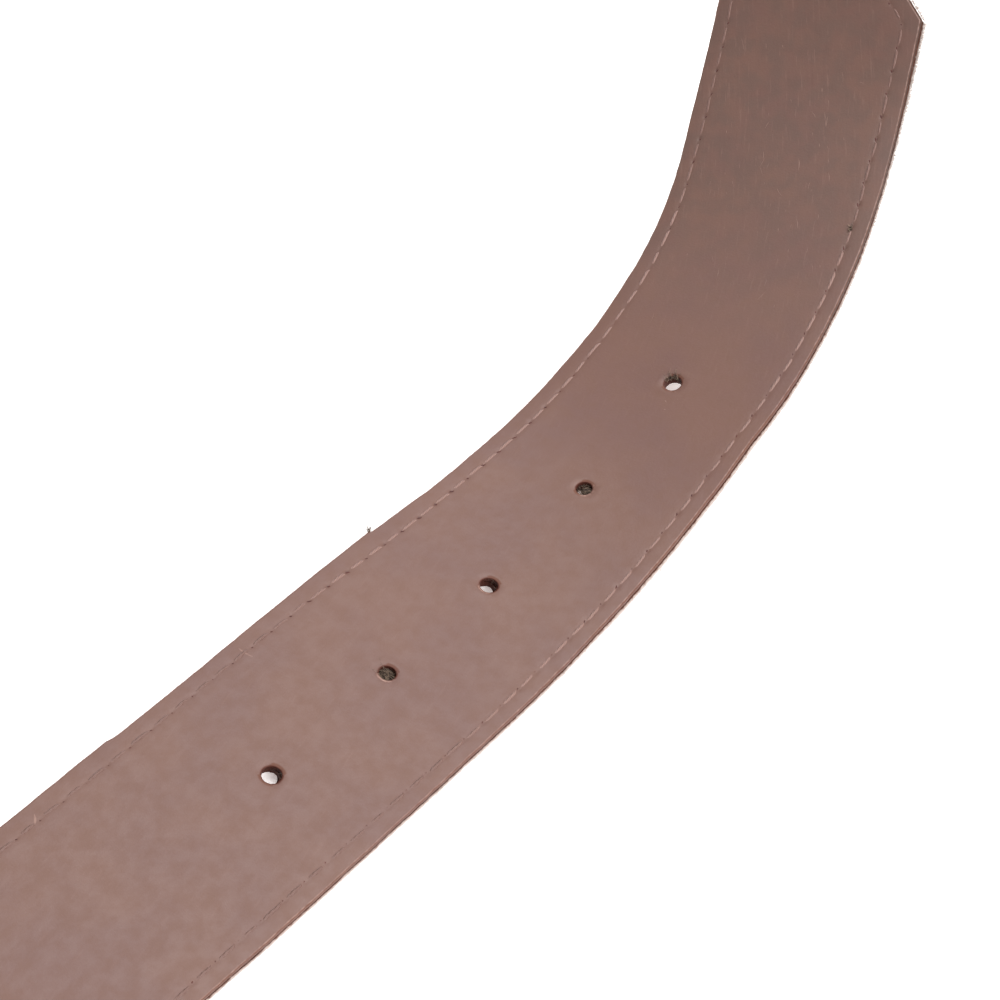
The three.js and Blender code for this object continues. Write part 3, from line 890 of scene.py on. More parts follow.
def edgeFibres():
    draw = np.random.default_rng(23)
    path, normals = outlinePath(0.02, 0.5)
    right = path[:, 1] < pointAxis
    perMm = {key: np.interp(path[:, 0], fibres["at"], fibres[key]) for key in ("leftPerMm", "rightPerMm")}
    share = np.cumsum(np.where(right, perMm["rightPerMm"], perMm["leftPerMm"]) * 0.5)
    picks = np.interp(draw.uniform(0, share[-1], int(share[-1])), share, np.arange(len(path)))
    index = picks.astype(int)
    height = draw.uniform(faceBottom + 0.25, faceTop + 0.05, len(picks))
    sign = np.where(right[index], -1, 1)
    flat = path[index] + normals[index] * edgeTrim(path[index, 0], sign, faceSection["overhang"])[:, None]
    flat = flat + (picks - index)[:, None] * (path[np.minimum(index + 1, len(path) - 1)] - path[index])
    root = np.concatenate([flat, height[:, None]], 1)
    outward = np.concatenate([normals[index] * 0.85, np.full((len(picks), 1), 0.1)], 1)
    length = np.interp(path[index, 0], fibres["at"], fibres["longest"]) * draw.uniform(0.2, 1, len(picks))
    return joinedPiece("edgeFibres", [fibreStrands(root, outward, length, 24)])


def flapFibres():
    # Leather torn up in shreds on the tail side of the last hole
    draw = np.random.default_rng(33)
    hole = prongHoles[-1]
    count = fibres["flap"]
    angle = draw.normal(0.55, 0.6, count)
    around = np.stack([np.cos(angle), np.sin(angle)], 1)
    reach = hole["radius"] + draw.uniform(-0.5, 0.05, (count, 1))
    place = np.array([hole["station"], hole["y"]]) + around * reach
    root = np.concatenate([place, draw.uniform(-0.5, 0, (count, 1))], 1)
    lifted = np.tile([0.8, 0.5, 0.35], (count, 1))
    return fibreStrands(root, lifted, draw.uniform(0.3, 1.4, count), 34, 0.06)


def packedDust(hole, packed):
    # A squashed ball of packed dust: its radius is reach sqrt(1 - u²) along a line, u from -1 to 1, and
    # lumps are added
    u = np.linspace(-1, 1, 13)
    reach, along, across, depth = packed
    place = np.array([hole["station"], hole["y"]]) + np.array(hole["lean"]) * depth + [along, across]
    centres = np.stack([place[0] + reach * u, np.full(13, place[1]), np.full(13, -depth)], 1)[None]
    lumps = 1 + 0.12 * np.random.default_rng(51).normal(0, 1, (13, 20))
    swell = np.sqrt(np.clip(1 - u * u, 0.002, 1))[:, None] * lumps
    profile = swell[..., None] * circle(20) * [reach, 0.35]
    return tubeRun(centres, np.array([[0.0, 1.0]]), profile, strapPoints)


def holeFibres():
    # Torn fibres that stand into each hole from its walls: root = centre + (radius + 0.02) around.
    # The choked holes have a mat of them near the bottom
    draw = np.random.default_rng(29)
    parts = [flapFibres()]
    for number, packed in fibres["packed"].items():
        parts.append(packedDust(prongHoles[number], packed))
    for number, (hole, count) in enumerate(zip(prongHoles, fibres["perHole"])):
        choked = count > 50
        angle = draw.uniform(-math.pi, math.pi, count) if choked else draw.uniform(-1.2, 1.2, count)
        around = np.stack([np.cos(angle), np.sin(angle)], 1)
        height = draw.uniform(-1.7, -0.6, count) if choked else draw.uniform(-1.3, -0.05, count)
        place = np.array([hole["station"], hole["y"]]) + around * (hole["radius"] + 0.02)
        inward = np.concatenate([-around * 1.1, np.full((count, 1), 0.25)], 1)
        length = draw.uniform(0.6, 2.2, count) if choked else draw.uniform(0.3, 0.8, count)
        root = np.concatenate([place + np.array(hole["lean"]) * -height[:, None], height[:, None]], 1)
        parts.append(fibreStrands(root, inward, length, 40 + number, 0.05 if choked else 0.03))
    return joinedPiece("holeFibres", parts)


def nickFibres():
    # A tuft where the left edge was torn, combed to the tail, and the cut ends of a knot in the right seam
    draw = np.random.default_rng(31)
    root = np.array([fibres["nick"], halfWidth + 0.4, -0.3]) + draw.normal(0, [0.14, 0.06, 0.2], (60, 3))
    comb = np.tile([0.8, 0.64, 0.1], (len(root), 1))
    knotRoot = np.array(seamKnot["place"]) + draw.normal(0, [0.3, 0.2, 0.03], (seamKnot["ends"], 3))
    knotEnds = np.tile([0.5, 0.2, 0.15], (len(knotRoot), 1))
    return joinedPiece("nickFibres", [
        fibreStrands(root, comb, draw.uniform(0.4, 1.5, len(root)), 32, 0.05, 0.16),
        fibreStrands(knotRoot, knotEnds, draw.uniform(0.3, 0.8, len(knotRoot)), 35, 0.07),
    ])


looseFibres = edgeFibres()
boreFibres = holeFibres()
tornTuft = nickFibres()
print("fibres:", len(looseFibres.data.polygons) + len(boreFibres.data.polygons), "faces")


# Pale scuffs on the lining, seen one by one, and a strewing of faint ones over the handled tail
scuffs = {
    "at": [-79.8, -37.9, 104.7, 94.5, 99.5, 107.9, 111.8, 100.8, 116.0, 90.8, 86.0, 80.2, 71.0, 114.2,
           47.3, 48.6, 45.8, 24.4, -27.1, -26.5],
    "y": [16.6, 16.0, 11.7, 7.7, -3.3, -6.2, -5.8, -8.5, -11.1, -0.7, -3.7, -13.7, -9.2, -4.1,
          -1.6, -3.2, -2.4, -2.0, -0.5, -2.2],
    "length": [1.9, 2.6, 0.6, 0.8, 2.6, 1.3, 1.1, 0.9, 1.2, 0.9, 0.8, 0.6, 0.7, 0.9,
               0.6, 0.5, 0.4, 1.5, 1.4, 1.2],
    "degrees": [50, 98, 15, 20, 14, 16, 12, 20, 75, 12, 18, 30, 10, 15,
                60, 20, 100, 155, 92, 135],
    "width": [0.34, 0.38, 0.12, 0.12, 0.12, 0.16, 0.14, 0.1, 0.12, 0.1, 0.1, 0.1, 0.09, 0.12,
              0.16, 0.14, 0.12, 0.26, 0.24, 0.22],
    "strewn": 50,
}


def onLining(station, y, height):
    return strapPoints(station, y, height + seamRelief(station, y)[0])


def scuffPiece():
    # Flat lenses on the surface: centre + (t - 1/2) length direction + bow t (1 - t) across, as wide as
    # width sin(pi t)
    draw = np.random.default_rng(37)
    tabled = np.array([scuffs[key] for key in ("at", "y", "length", "degrees", "width")]).T
    count = scuffs["strewn"]
    strewn = np.stack([
        draw.normal(96, 14, count).clip(62, 122),
        draw.uniform(-13, 13, count),
        draw.uniform(0.4, 2.4, count),
        draw.normal(14, 16, count),
        draw.uniform(0.04, 0.09, count),
    ], 1)
    parts = []
    for station, y, length, degrees, width in np.concatenate([tabled, strewn]):
        t = np.linspace(0, 1, 7)
        direction = np.array([math.cos(math.radians(degrees)), math.sin(math.radians(degrees))])
        across = np.array([-direction[1], direction[0]])
        bow = 0.3 * length * draw.uniform(-1, 1) * (t * (1 - t))[:, None]
        line = np.array([station, y]) + (t - 0.5)[:, None] * length * direction + bow * across
        centres = np.concatenate([line, np.full((7, 1), 0.004)], 1)[None]
        swell = (0.12 + np.sin(math.pi * t))[:, None, None] / 1.12
        parts.append(tubeRun(centres, across[None], swell * circle(6) * [width / 2, 0.014], onLining))
    return joinedPiece("liningScuffs", parts)


paleScuffs = scuffPiece()
print("scuffs:", len(paleScuffs.data.polygons), "faces")


def sweptSection(path, sideways, section):
    # A closed section carried along a path: path + section x sideways + section y (third axis), ring by
    # ring
    path = np.asarray(path, float)
    ahead = np.gradient(path, axis=0)
    ahead /= np.linalg.norm(ahead, axis=1)[:, None]
    third = np.cross(ahead, sideways)
    return path[:, None, :] + section[..., :1] * sideways[:, None, :] + section[..., 1:] * third[:, None, :]


def roundedBox(halfX, halfY, radius, perCorner=5):
    # Rectangle outline with round corners, counter-clockwise
    quarter = np.linspace(0, math.pi / 2, perCorner)
    corners = []
    for turn, (signX, signY) in enumerate(((1, 1), (-1, 1), (-1, -1), (1, -1))):
        angle = quarter + turn * math.pi / 2
        centre = np.array([signX * (halfX - radius), signY * (halfY - radius)])
        corners.append(centre + radius * np.stack([np.cos(angle), np.sin(angle)], 1))
    return np.concatenate(corners)


# The keeper: a leather band bent to a rounded rectangle round the doubled strap
keeper = {"wall": 1.2, "corner": 2.2, "edgeRound": 0.35, "crease": 0.12, "creaseInset": 1.6}


def keeperLoop():
    low, high = (np.array(corner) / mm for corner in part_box("keeper"))
    centre = (low + high) / 2
    size = high - low
    inset = keeper["wall"] / 2
    turn = np.linspace(0, math.pi / 2, 9)
    halfY = size[1] / 2 - inset
    halfZ = size[2] / 2 - inset
    radius = keeper["corner"] - inset
    outline = []
    for quarter, (signY, signZ) in enumerate(((1, 1), (-1, 1), (-1, -1), (1, -1))):
        angle = turn + quarter * math.pi / 2
        cornerY = signY * (halfY - radius) + radius * np.cos(angle)
        cornerZ = signZ * (halfZ - radius) + radius * np.sin(angle)
        outline.append(np.stack([cornerY, cornerZ], 1))
    corners = np.concatenate(outline)
    ends = np.roll(corners, -1, 0)
    lengths = np.linalg.norm(ends - corners, axis=1)
    distance = np.concatenate([[0], np.cumsum(lengths)])
    closed = np.concatenate([corners, corners[:1]])
    even = np.linspace(0, distance[-1], 200, endpoint=False)
    yz = np.stack([np.interp(even, distance, closed[:, axis]) for axis in (0, 1)], 1)
    tangent = np.roll(yz, -1, 0) - np.roll(yz, 1, 0)
    tangent /= np.linalg.norm(tangent, axis=1)[:, None]
    outward = np.stack([tangent[:, 1], -tangent[:, 0]], 1)
    section = roundedBox(size[0] / 2, inset, keeper["edgeRound"])
    across = np.linspace(-size[0] / 2 + 1, size[0] / 2 - 1, 23)
    toCrease = np.abs(across) - size[0] / 2 + keeper["creaseInset"]
    groove = keeper["crease"] * np.exp(-((toCrease / 0.3) ** 2))
    top = np.stack([across[::-1], inset - groove[::-1]], 1)
    perCorner = len(section) // 4
    section = np.concatenate([section[:perCorner], top, section[perCorner:]])
    x = centre[0] + np.broadcast_to(section[:, 0], (len(yz), len(section)))
    ringY = centre[1] + yz[:, None, 0] + outward[:, None, 0] * section[None, :, 1]
    ringZ = centre[2] + yz[:, None, 1] + outward[:, None, 1] * section[None, :, 1]
    points = np.stack([x, ringY, ringZ], 2).reshape(-1, 3)
    faces = gridFaces(len(yz) + 1, len(section)) % (len(yz) * len(section))
    uv = np.stack([np.repeat(even, len(section)), np.tile(section[:, 0], len(yz))], 1)
    return pieceMesh("keeperLoop", points, [faces], uv, {})


keeperLeather = keeperLoop()

# The buckle: a bent rail round three sides, a bar between its ends and a prong looped round the bar
buckle = {
    "rail": 4.0,
    "railRound": 1.3,
    "cornerRadius": 4.0,
    "barRadius": 2.0,
    "prongWidth": 4.0,
    "prongWall": 1.15,
    "prongThick": 2.4,
}


def buckleRail():
    low, high = (np.array(corner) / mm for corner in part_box("buckle"))
    bar = np.array([strap["barStation"], 0, barHeight]) + beltShift
    half = buckle["rail"] / 2
    side = (high[1] - low[1]) / 2 - half
    far = low[0] + half + 1.5 - bar[0]
    radius = buckle["cornerRadius"]
    turn = np.linspace(0, math.pi / 2, 12)
    straight = np.linspace(half, far + radius, 12)
    corner = np.stack([far + radius - radius * np.sin(turn), side - radius + radius * np.cos(turn)], 1)
    oneSide = np.concatenate([np.stack([straight, np.full(12, side)], 1)[:-1], corner])
    across = np.linspace(side - radius, 0, 10)[1:]
    oneSide = np.concatenate([oneSide, np.stack([np.full(9, far), across], 1)])
    whole = np.concatenate([oneSide, (oneSide * [1, -1])[-2::-1]])
    path = np.concatenate([whole, np.zeros((len(whole), 1))], 1) + bar
    up = np.tile([0.0, 0, 1], (len(path), 1))
    section = np.repeat(roundedBox(half, half, buckle["railRound"])[None], len(path), 0)
    swept = sweptSection(path, up, section)
    around = np.arange(section.shape[1])
    faces = [gridFaces(len(path), len(around)), around[None], (len(path) - 1) * len(around) + around[None]]
    uv = np.stack([np.repeat(np.arange(len(path)), len(around)), np.tile(around, len(path))], 1) * 1.0
    angle = np.linspace(0, 2 * math.pi, 32, endpoint=False)
    ends = np.array([-side, side])
    ring = np.stack([
        np.broadcast_to(buckle["barRadius"] * np.cos(angle), (2, 32)),
        np.broadcast_to(ends[:, None], (2, 32)),
        np.broadcast_to(buckle["barRadius"] * np.sin(angle), (2, 32)),
    ], 2) + bar
    barFaces = [gridFaces(2, 32), np.arange(32)[None], 32 + np.arange(32)[None]]
    barUv = np.stack([np.repeat(ends, 32), np.tile(angle, 2)], 1)
    return joinedPiece("buckleFrame", [
        (swept.reshape(-1, 3), faces, uv), (ring.reshape(-1, 3), barFaces, barUv),
    ])


def buckleProng():
    # From the tip on the table, up a straight arm, then an arc that wraps the bar
    bar = np.array([strap["barStation"], 0, barHeight]) + beltShift
    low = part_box("buckle")[0]
    wrap = buckle["barRadius"] + 0.08 + buckle["prongWall"] / 2
    tip = np.array([low.x / mm - bar[0] + 0.3, -bar[2] + buckle["prongThick"] / 2 + 0.05])
    heel = np.array([-buckle["cornerRadius"] * 5.2, tip[1]])
    angle = np.linspace(math.radians(-108), math.radians(205), 40)
    arc = wrap * np.stack([np.cos(angle), np.sin(angle)], 1)
    arm = np.linspace(0, 1, 24)[:, None]
    sag = heel + (arc[0] - heel) * arm
    sag[:, 1] += (np.sin(math.pi * arm[:, 0]) * -0.25)
    flat = np.linspace(tip, heel, 10)[:-1]
    xz = np.concatenate([flat, sag[:-1], arc])
    path = np.stack([xz[:, 0], np.zeros(len(xz)), xz[:, 1]], 1) + bar
    place = np.concatenate([[0], np.cumsum(np.linalg.norm(np.diff(xz, axis=0), axis=1))])
    full, wall = buckle["prongThick"], buckle["prongWall"]
    thick = np.interp(place, [0, 2, 12, 30, 33], [1.1, 2.2, full, wall, wall])
    wide = np.interp(place, [0, 1.2, 4, 60], [2.0, 3.2, buckle["prongWidth"], buckle["prongWidth"]])
    unit = roundedBox(1, 1, 0.4)
    section = np.stack([unit[None, :, 0] * wide[:, None] / 2, unit[None, :, 1] * thick[:, None] / 2], 2)
    sideways = np.tile([0.0, 1, 0], (len(path), 1))
    swept = sweptSection(path, sideways, section)
    around = np.arange(section.shape[1])
    faces = [gridFaces(len(path), len(around)), around[None], (len(path) - 1) * len(around) + around[None]]
    uv = np.stack([np.repeat(place, len(around)), np.tile(around, len(path))], 1)
    return pieceMesh("buckleProng", swept.reshape(-1, 3), faces, uv, {})


buckleFrame = buckleRail()
prong = buckleProng()
print("buckle and keeper made")


def linearColour(text):
    # sRGB hex to linear: c/12.92 below 0.04045, else ((c + 0.055) / 1.055)^2.4
    values = [int(text[place:place + 2], 16) / 255 for place in (0, 2, 4)]
    return (*(c / 12.92 if c <= 0.04045 else ((c + 0.055) / 1.055) ** 2.4 for c in values), 1.0)


def addNode(tree, kind, settings=None, links=None):
    # A node with its properties and socket values set and its inputs linked
    node = tree.nodes.new(kind)
    for key, value in (settings or {}).items():
        if isinstance(key, str) and hasattr(node, key):
            setattr(node, key, value)
        else:
            node.inputs[key].default_value = value
    for socket, source in (links or {}).items():
        tree.links.new(source, node.inputs[socket])
    return node


def newMaterial(name):
    material = bpy.data.materials.new(name)
    material.use_nodes = True
    material.node_tree.nodes.clear()
    return material, material.node_tree


def finishMaterial(tree, shader):
    addNode(tree, "ShaderNodeOutputMaterial", links={"Surface": shader.outputs[0]})


def blendColour(tree, share, first, second):
    # first where share is 0, second where it is 1; each is a linear colour or an output
    node = addNode(tree, "ShaderNodeMix", {"data_type": "RGBA"}, {0: share})
    for socket, value in ((6, first), (7, second)):
        if isinstance(value, tuple):
            node.inputs[socket].default_value = value
        else:
            tree.links.new(value, node.inputs[socket])
    return node.outputs[2]


def ramp(tree, source, low, high, start=0.0, end=1.0):
    # low..high of the source becomes start..end, clamped and eased
    node = addNode(
        tree, "ShaderNodeMapRange",
        {"interpolation_type": "SMOOTHSTEP",
         "From Min": low, "From Max": high, "To Min": start, "To Max": end},
        {"Value": source},
    )
    return node.outputs["Result"]


def surfaceCoordinates(tree, stretch=(1, 1, 1), degrees=0.0):
    # The piece's own unrolled coordinates in mm, turned and then stretched
    uv = addNode(tree, "ShaderNodeUVMap", {"uv_map": "surface"})
    turn = (0, 0, -math.radians(degrees))
    turned = addNode(
        tree, "ShaderNodeMapping",
        {"Rotation": turn, "Scale": (1000, 1000, 1000)}, {"Vector": uv.outputs[0]},
    )
    return addNode(tree, "ShaderNodeMapping", {"Scale": stretch}, {"Vector": turned.outputs[0]}).outputs[0]


def beltMark(tree, mark):
    return addNode(tree, "ShaderNodeAttribute", {"attribute_name": mark}).outputs["Fac"]


def noise(tree, coordinates, size, detail=2.0, roughness=0.5):
    # size in mm of one swell of the noise
    return addNode(
        tree, "ShaderNodeTexNoise",
        {"Scale": 1 / size, "Detail": detail, "Roughness": roughness}, {"Vector": coordinates},
    ).outputs["Fac"]


def deepToPale(tree, source, low, high, look):
    # From the deep colour of a look to its pale one
    share = ramp(tree, source, low, high)
    return blendColour(tree, share, linearColour(look["deep"]), linearColour(look["pale"]))


def leather(name, look):
    # Two tones in clouds, mottled; grime and painted shade towards the point; streaks of wear along the
    # belt; then the marks that the mesh carries, each broken up by a fine noise; and a bump of pores
    material, tree = newMaterial(name)
    flat = surfaceCoordinates(tree)
    cloud = noise(tree, flat, look["cloudSize"], 3)
    mottle = noise(tree, flat, look["mottleSize"], 4, 0.6)
    colour = deepToPale(tree, cloud, 0.35, 0.65, look)
    mottled = ramp(tree, mottle, 0.4, 0.75, 0, look["mottleShare"])
    colour = blendColour(tree, mottled, colour, linearColour(look["mottle"]))
    crescent = surfaceCoordinates(tree, look["streakStretch"], look["streakTurn"])
    streaks = noise(tree, crescent, look["streakSize"], 3, 0.65)
    # grime and painted shade: darker towards the point, in patches, partly standing for the shade on the
    # raised tail
    handledAndShaded = ramp(tree, beltMark(tree, "alongBelt"), *look["handledAndShaded"])
    patch = noise(tree, flat, look["patchSize"], 3)
    patches = ramp(tree, patch, 0.35, 0.65, look["grimeAndShade"] * 0.45, look["grimeAndShade"])
    grimedAndShaded = addNode(tree, "ShaderNodeMath", {"operation": "MULTIPLY"}, {0: handledAndShaded, 1: patches}).outputs[0]
    colour = blendColour(tree, grimedAndShaded, colour, linearColour(look["grimeAndShadeColour"]))
    wear = addNode(
        tree, "ShaderNodeMath", {"operation": "MULTIPLY_ADD", 1: 0.9, 2: 0.5}, {0: handledAndShaded},
    ).outputs[0]
    for low, high, shade in ((0.56, 0.74, look["streakPale"]), (0.44, 0.26, look["streakDeep"])):
        streak = ramp(tree, streaks, low, high, 0, look["streakShare"])
        share = addNode(tree, "ShaderNodeMath", {"operation": "MULTIPLY"}, {0: streak, 1: wear}).outputs[0]
        colour = blendColour(tree, share, colour, linearColour(shade))
    ragged = noise(tree, flat, 0.7, 2)
    for mark, low, high, top, shade in look["marks"]:
        broken = addNode(
            tree, "ShaderNodeMath", {"operation": "MULTIPLY_ADD", 1: 0.5},
            {0: ragged, 2: beltMark(tree, mark)},
        )
        share = ramp(tree, broken.outputs[0], low + 0.25, high + 0.25, 0, top)
        colour = blendColour(tree, share, colour, linearColour(shade))
    pore = addNode(
        tree, "ShaderNodeTexVoronoi",
        {"feature": "SMOOTH_F1", "Scale": 1 / look["poreSize"], "Smoothness": 0.6}, {"Vector": flat},
    ).outputs["Distance"]
    grain = addNode(
        tree, "ShaderNodeMath", {"operation": "MULTIPLY_ADD", 1: look["poreDepth"]},
        {0: pore, 2: noise(tree, flat, look["poreSize"] * 3, 3)},
    ).outputs[0]
    bump = addNode(
        tree, "ShaderNodeBump", {"Strength": look["bump"], "Distance": look["bumpDepth"] * mm},
        {"Height": grain},
    )
    rough = ramp(tree, mottle, 0.3, 0.7, look["roughness"] - 0.05, look["roughness"] + 0.05)
    gloss = ramp(tree, beltMark(tree, "raw"), 0.2, 0.9, 0.5, 0.08)
    shader = addNode(
        tree, "ShaderNodeBsdfPrincipled", {"IOR": 1.5},
        {"Base Color": colour, "Roughness": rough, "Specular IOR Level": gloss, "Normal": bump.outputs[0]},
    )
    finishMaterial(tree, shader)
    return material


# Corrected-grain lining leather, sprayed with pigment and plated smooth: even, half matt, almost no pores
liningLook = {
    "deep": "64453d", "pale": "68483d",
    "mottle": "664737", "mottleShare": 0.3,
    "streakPale": "7c5c52", "streakDeep": "583c34", "streakShare": 0.25,
    "streakStretch": (0.16, 1.5, 1), "streakTurn": 13, "streakSize": 0.8,
    # darker towards the point: grime in patches and painted shade of the raised tail
    "handledAndShaded": (45, 105), "grimeAndShade": 0.75, "grimeAndShadeColour": "58423a", "patchSize": 4.0,
    "cloudSize": 17.0, "mottleSize": 2.6,
    "poreSize": 0.42, "poreDepth": 0.6,  # real pores are about 0.15 mm: drawn coarser so that they show
    "bump": 0.3, "bumpDepth": 0.05,
    "roughness": 0.52,
    "marks": [
        # burnished lip with a painted highlight
        ("lip", 0.2, 0.75, 0.85, "ae9187"),
        # darker down the lining's cut edge
        ("cut", 0.12, 0.4, 0.95, "4b3933"),
        # painted shade in the prong holes
        ("boreShade", 0.45, 0.9, 0.95, "4d2a22"),
        # painted shade in the needle holes
        ("needle", 0.35, 1.1, 0.75, "44241f"),
        # paler crescent on one side of each hole's rim
        ("paleCrescent", 0.2, 0.9, 0.8, "b3958a"),
    ],
}
# Vegetable-tanned face leather: smooth brown grain outside, raw pale fibres where it is cut
faceLook = {
    "deep": "4d3026", "pale": "5b392d",
    "mottle": "6b4536", "mottleShare": 0.4,
    "streakPale": "7a5444", "streakDeep": "3a241c", "streakShare": 0.3,
    "streakStretch": (0.1, 1.4, 1), "streakTurn": 0, "streakSize": 1.2,
    "handledAndShaded": (50, 110), "grimeAndShade": 0.5, "grimeAndShadeColour": "462c22", "patchSize": 8.0,
    "cloudSize": 28.0, "mottleSize": 1.8,
    "poreSize": 0.5, "poreDepth": 0.8,
    "bump": 0.3, "bumpDepth": 0.08,
    "roughness": 0.42,
    "marks": [
        ("cut", 0.04, 0.35, 0.95, "b5a7a0"),
        # painted shade in the prong holes
        ("boreShade", 0.3, 1.0, 0.95, "50281e"),
        # painted shade in the needle holes
        ("needle", 0.25, 0.95, 0.9, "2c1b16"),
    ],
}
keeperLook = dict(faceLook, marks=[], deep="4a2e24", pale="57372b")


def thread(name, look):
    # Bonded polyester thread: two plies twisted, satin
    material, tree = newMaterial(name)
    flat = surfaceCoordinates(tree)
    twist = addNode(
        tree, "ShaderNodeTexWave",
        {"bands_direction": "DIAGONAL", "Scale": look["twist"], "Distortion": 0.4}, {"Vector": flat},
    ).outputs["Fac"]
    colour = deepToPale(tree, twist, 0.1, 0.8, look)
    # grime at both ends, and painted shade towards the point
    for low, high in look["grimedAndShaded"]:
        share = ramp(tree, beltMark(tree, "alongBelt"), low, high, 0, look["grimeAndShade"])
        colour = blendColour(tree, share, colour, linearColour(look["grimeAndShadeThreadColour"]))
    bump = addNode(tree, "ShaderNodeBump", {"Strength": 0.5, "Distance": 0.05 * mm}, {"Height": twist})
    shader = addNode(
        tree, "ShaderNodeBsdfPrincipled", {"IOR": 1.5, "Roughness": 0.55, "Sheen Weight": 0.15},
        {"Base Color": colour, "Normal": bump.outputs[0]},
    )
    finishMaterial(tree, shader)
    return material


# clean round the middle, darker towards the point and towards the buckle: grime at both, and painted shade
# towards the point too (stations in mm)
threadLook = {
    "deep": "755750", "pale": "87685d", "twist": 2.4,
    "grimeAndShadeThreadColour": "66483f", "grimeAndShade": 0.9, "grimedAndShaded": [(76, 92), (-12, -36)],
}


def plainFinish(name, look):
    # One colour broken by a fine noise, in colour and in roughness
    material, tree = newMaterial(name)
    place = addNode(tree, "ShaderNodeTexCoord").outputs["Object"]
    scaled = addNode(tree, "ShaderNodeMapping", {"Scale": (1000, 1000, 1000)}, {"Vector": place}).outputs[0]
    swell = noise(tree, scaled, look["size"], 3)
    colour = deepToPale(tree, swell, 0.35, 0.65, look)
    rough = ramp(tree, swell, 0.3, 0.7, look["roughness"] - 0.04, look["roughness"] + 0.04)
    shader = addNode(
        tree, "ShaderNodeBsdfPrincipled", {"Metallic": look["metallic"]},
        {"Base Color": colour, "Roughness": rough},
    )
    finishMaterial(tree, shader)
    return material


platedLining = leather("platedLiningLeather", liningLook)
grainFace = leather("grainFaceLeather", faceLook)
keeperHide = leather("keeperLeather", keeperLook)
polyesterThread = thread("polyesterThread", threadLook)
# adhesive film, dark also as painted shade of the gap between the leathers
glueAndGapShade = plainFinish("contactAdhesiveAndGapShade", {
    "deep": "47312a", "pale": "553a31", "size": 0.6, "roughness": 0.9, "metallic": 0.0,
})
rawFibre = plainFinish("rawCollagenFibre", {
    "deep": "a3968f", "pale": "d0c5bf", "size": 0.4, "roughness": 0.85, "metallic": 0.0,
})
shreds = plainFinish("dyedFibre", {
    "deep": "2c1f19", "pale": "84705f", "size": 0.5, "roughness": 0.85, "metallic": 0.0,
})
needleShadeFinish = plainFinish("needleHoleShade", {
    "deep": "42211d", "pale": "55302a", "size": 0.8, "roughness": 0.9, "metallic": 0.0,
})
rubbedLeather = plainFinish("rubbedPigment", {
    "deep": "6c4e45", "pale": "83655a", "size": 1.6, "roughness": 0.6, "metallic": 0.0,
})
satinNickel = plainFinish("satinNickelPlate", {
    "deep": "a5a29b", "pale": "b2afa8", "size": 0.5, "roughness": 0.32, "metallic": 1.0,
})

for piece, material, slot, node in (
    (liningLeather, platedLining, "lining_leather", "lining_strap"),
    (faceLeather, grainFace, "face_leather", "face_strap"),
    (liningStitches, polyesterThread, "lining_leather", None),
    (faceStitches, polyesterThread, "face_leather", None),
    (glueLine, glueAndGapShade, "face_leather", None),
    (looseFibres, rawFibre, "face_leather", None),
    (boreFibres, shreds, "face_leather", None),
    (tornTuft, shreds, "lining_leather", None),
    (paleScuffs, rubbedLeather, "lining_leather", None),
    (needleSlits, needleShadeFinish, "lining_leather", None),
    (keeperLeather, keeperHide, "keeper_leather", "keeper"),
    (buckleFrame, satinNickel, "buckle_metal", "buckle"),
    (prong, satinNickel, "buckle_metal", "buckle"),
):
    piece.data.materials.append(material)
    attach(piece, "root")
    if node:
        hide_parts(node)
print("materials assigned")

# The table, the lights and the camera. Sizes in mm, power in watts.
studio = {
    "floorSize": 6000,
    "floorColour": "f4f2f1",
    "floorGlow": 0.4,   # an opal table faintly lit from below, which shows through the holes
    "worldStrength": 0.4,
    "camera": (-185.08, -96.55, 239.02),  # from the middle hole's place on the table
    "target": (17.13, 12.66, 0.0),
    "roll": 15.09,       # degrees
    "lens": 72.2,        # mm on a 36 mm sensor
}


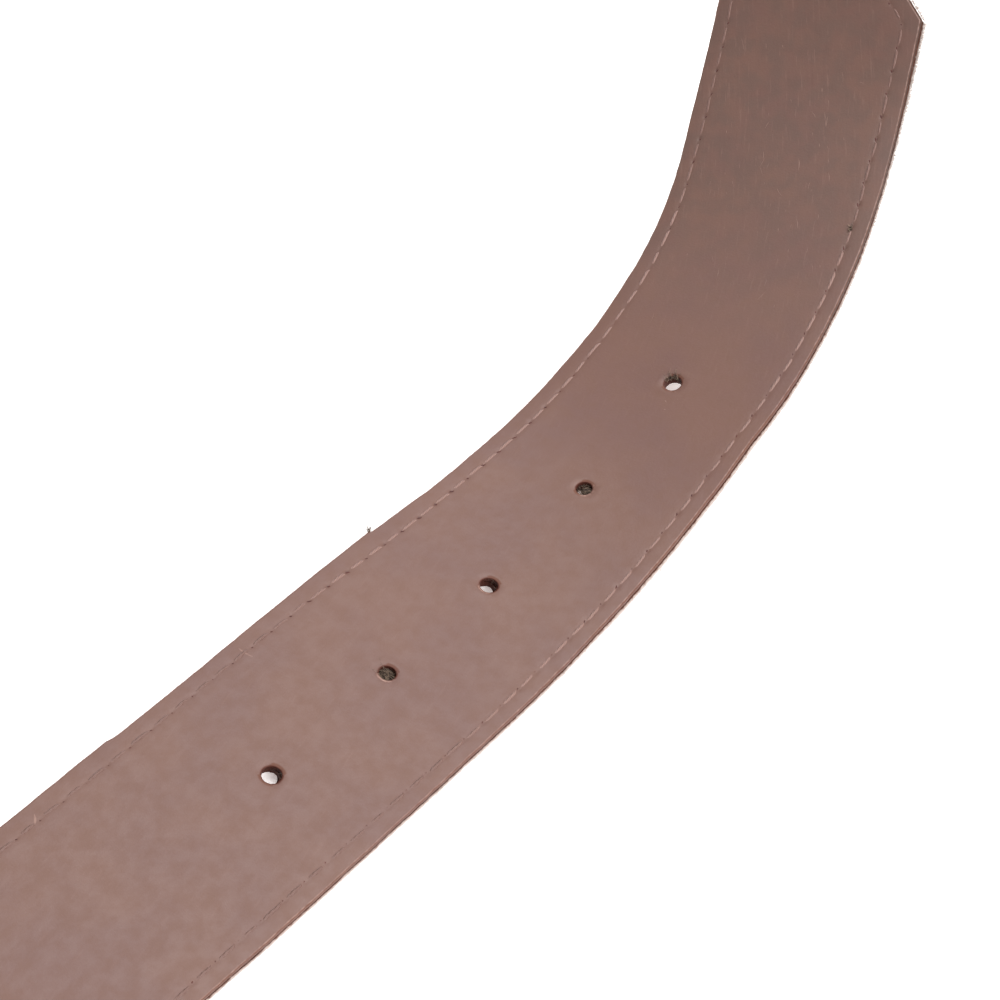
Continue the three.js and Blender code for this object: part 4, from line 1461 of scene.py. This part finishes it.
def makeFloor():
    half = studio["floorSize"] / 2 * mm
    drop = -0.05 * mm
    mesh = bpy.data.meshes.new("table")
    corners = [(x * half, y * half, drop) for x, y in ((-1, -1), (1, -1), (1, 1), (-1, 1))]
    mesh.from_pydata(corners, [], [(0, 1, 2, 3)])
    floor = bpy.data.objects.new("table", mesh)
    bpy.context.scene.collection.objects.link(floor)
    material, tree = newMaterial("opalTable")
    shader = addNode(tree, "ShaderNodeBsdfPrincipled", {
        "Base Color": linearColour(studio["floorColour"]),
        "Roughness": 0.7,
        "Emission Color": linearColour("fff2ee"),
        "Emission Strength": studio["floorGlow"],
    })
    finishMaterial(tree, shader)
    mesh.materials.append(material)


def makeLight(name, direction, distance, size, power):
    # A soft rectangle in a direction from the picture's middle, facing it
    lamp = bpy.data.lights.new(name, "AREA")
    lamp.shape = "RECTANGLE"
    lamp.size, lamp.size_y = (part * mm for part in size)
    lamp.energy = power
    light = bpy.data.objects.new(name, lamp)
    away = Vector(direction).normalized()
    light.location = (Vector(studio["target"]) + Vector(beltShift) + away * distance) * mm
    light.rotation_euler = (-away).to_track_quat("-Z", "Y").to_euler()
    bpy.context.scene.collection.objects.link(light)


def makeCamera():
    view = bpy.data.cameras.new("photoView")
    view.lens = studio["lens"]
    view.sensor_width = 36
    view.clip_start = 0.01
    view.clip_end = 50
    camera = bpy.data.objects.new("photoView", view)
    ahead = Vector(studio["target"]) - Vector(studio["camera"])
    camera.location = (Vector(studio["camera"]) + Vector(beltShift)) * mm
    camera.rotation_mode = "QUATERNION"
    level = ahead.to_track_quat("-Z", "Y")
    camera.rotation_quaternion = level @ Quaternion((0, 0, 1), math.radians(studio["roll"]))
    bpy.context.scene.collection.objects.link(camera)
    bpy.context.scene.camera = camera


makeFloor()
makeLight("overheadSoftbox", (0.2, 0.17, 1), 1200, (700, 700), 10.05)
makeLight("backSoftbox", (0.58, 0.3, 0.75), 1200, (800, 600), 3)
makeLight("rightSoftbox", (-0.05, -0.7, 0.72), 1200, (700, 500), 14.4)
makeCamera()
world = bpy.data.worlds.new("paleRoom")
world.use_nodes = True
world.node_tree.nodes["Background"].inputs["Color"].default_value = (1, 1, 1, 1)
world.node_tree.nodes["Background"].inputs["Strength"].default_value = studio["worldStrength"]
bpy.context.scene.world = world
bpy.context.scene.view_settings.view_transform = "Standard"
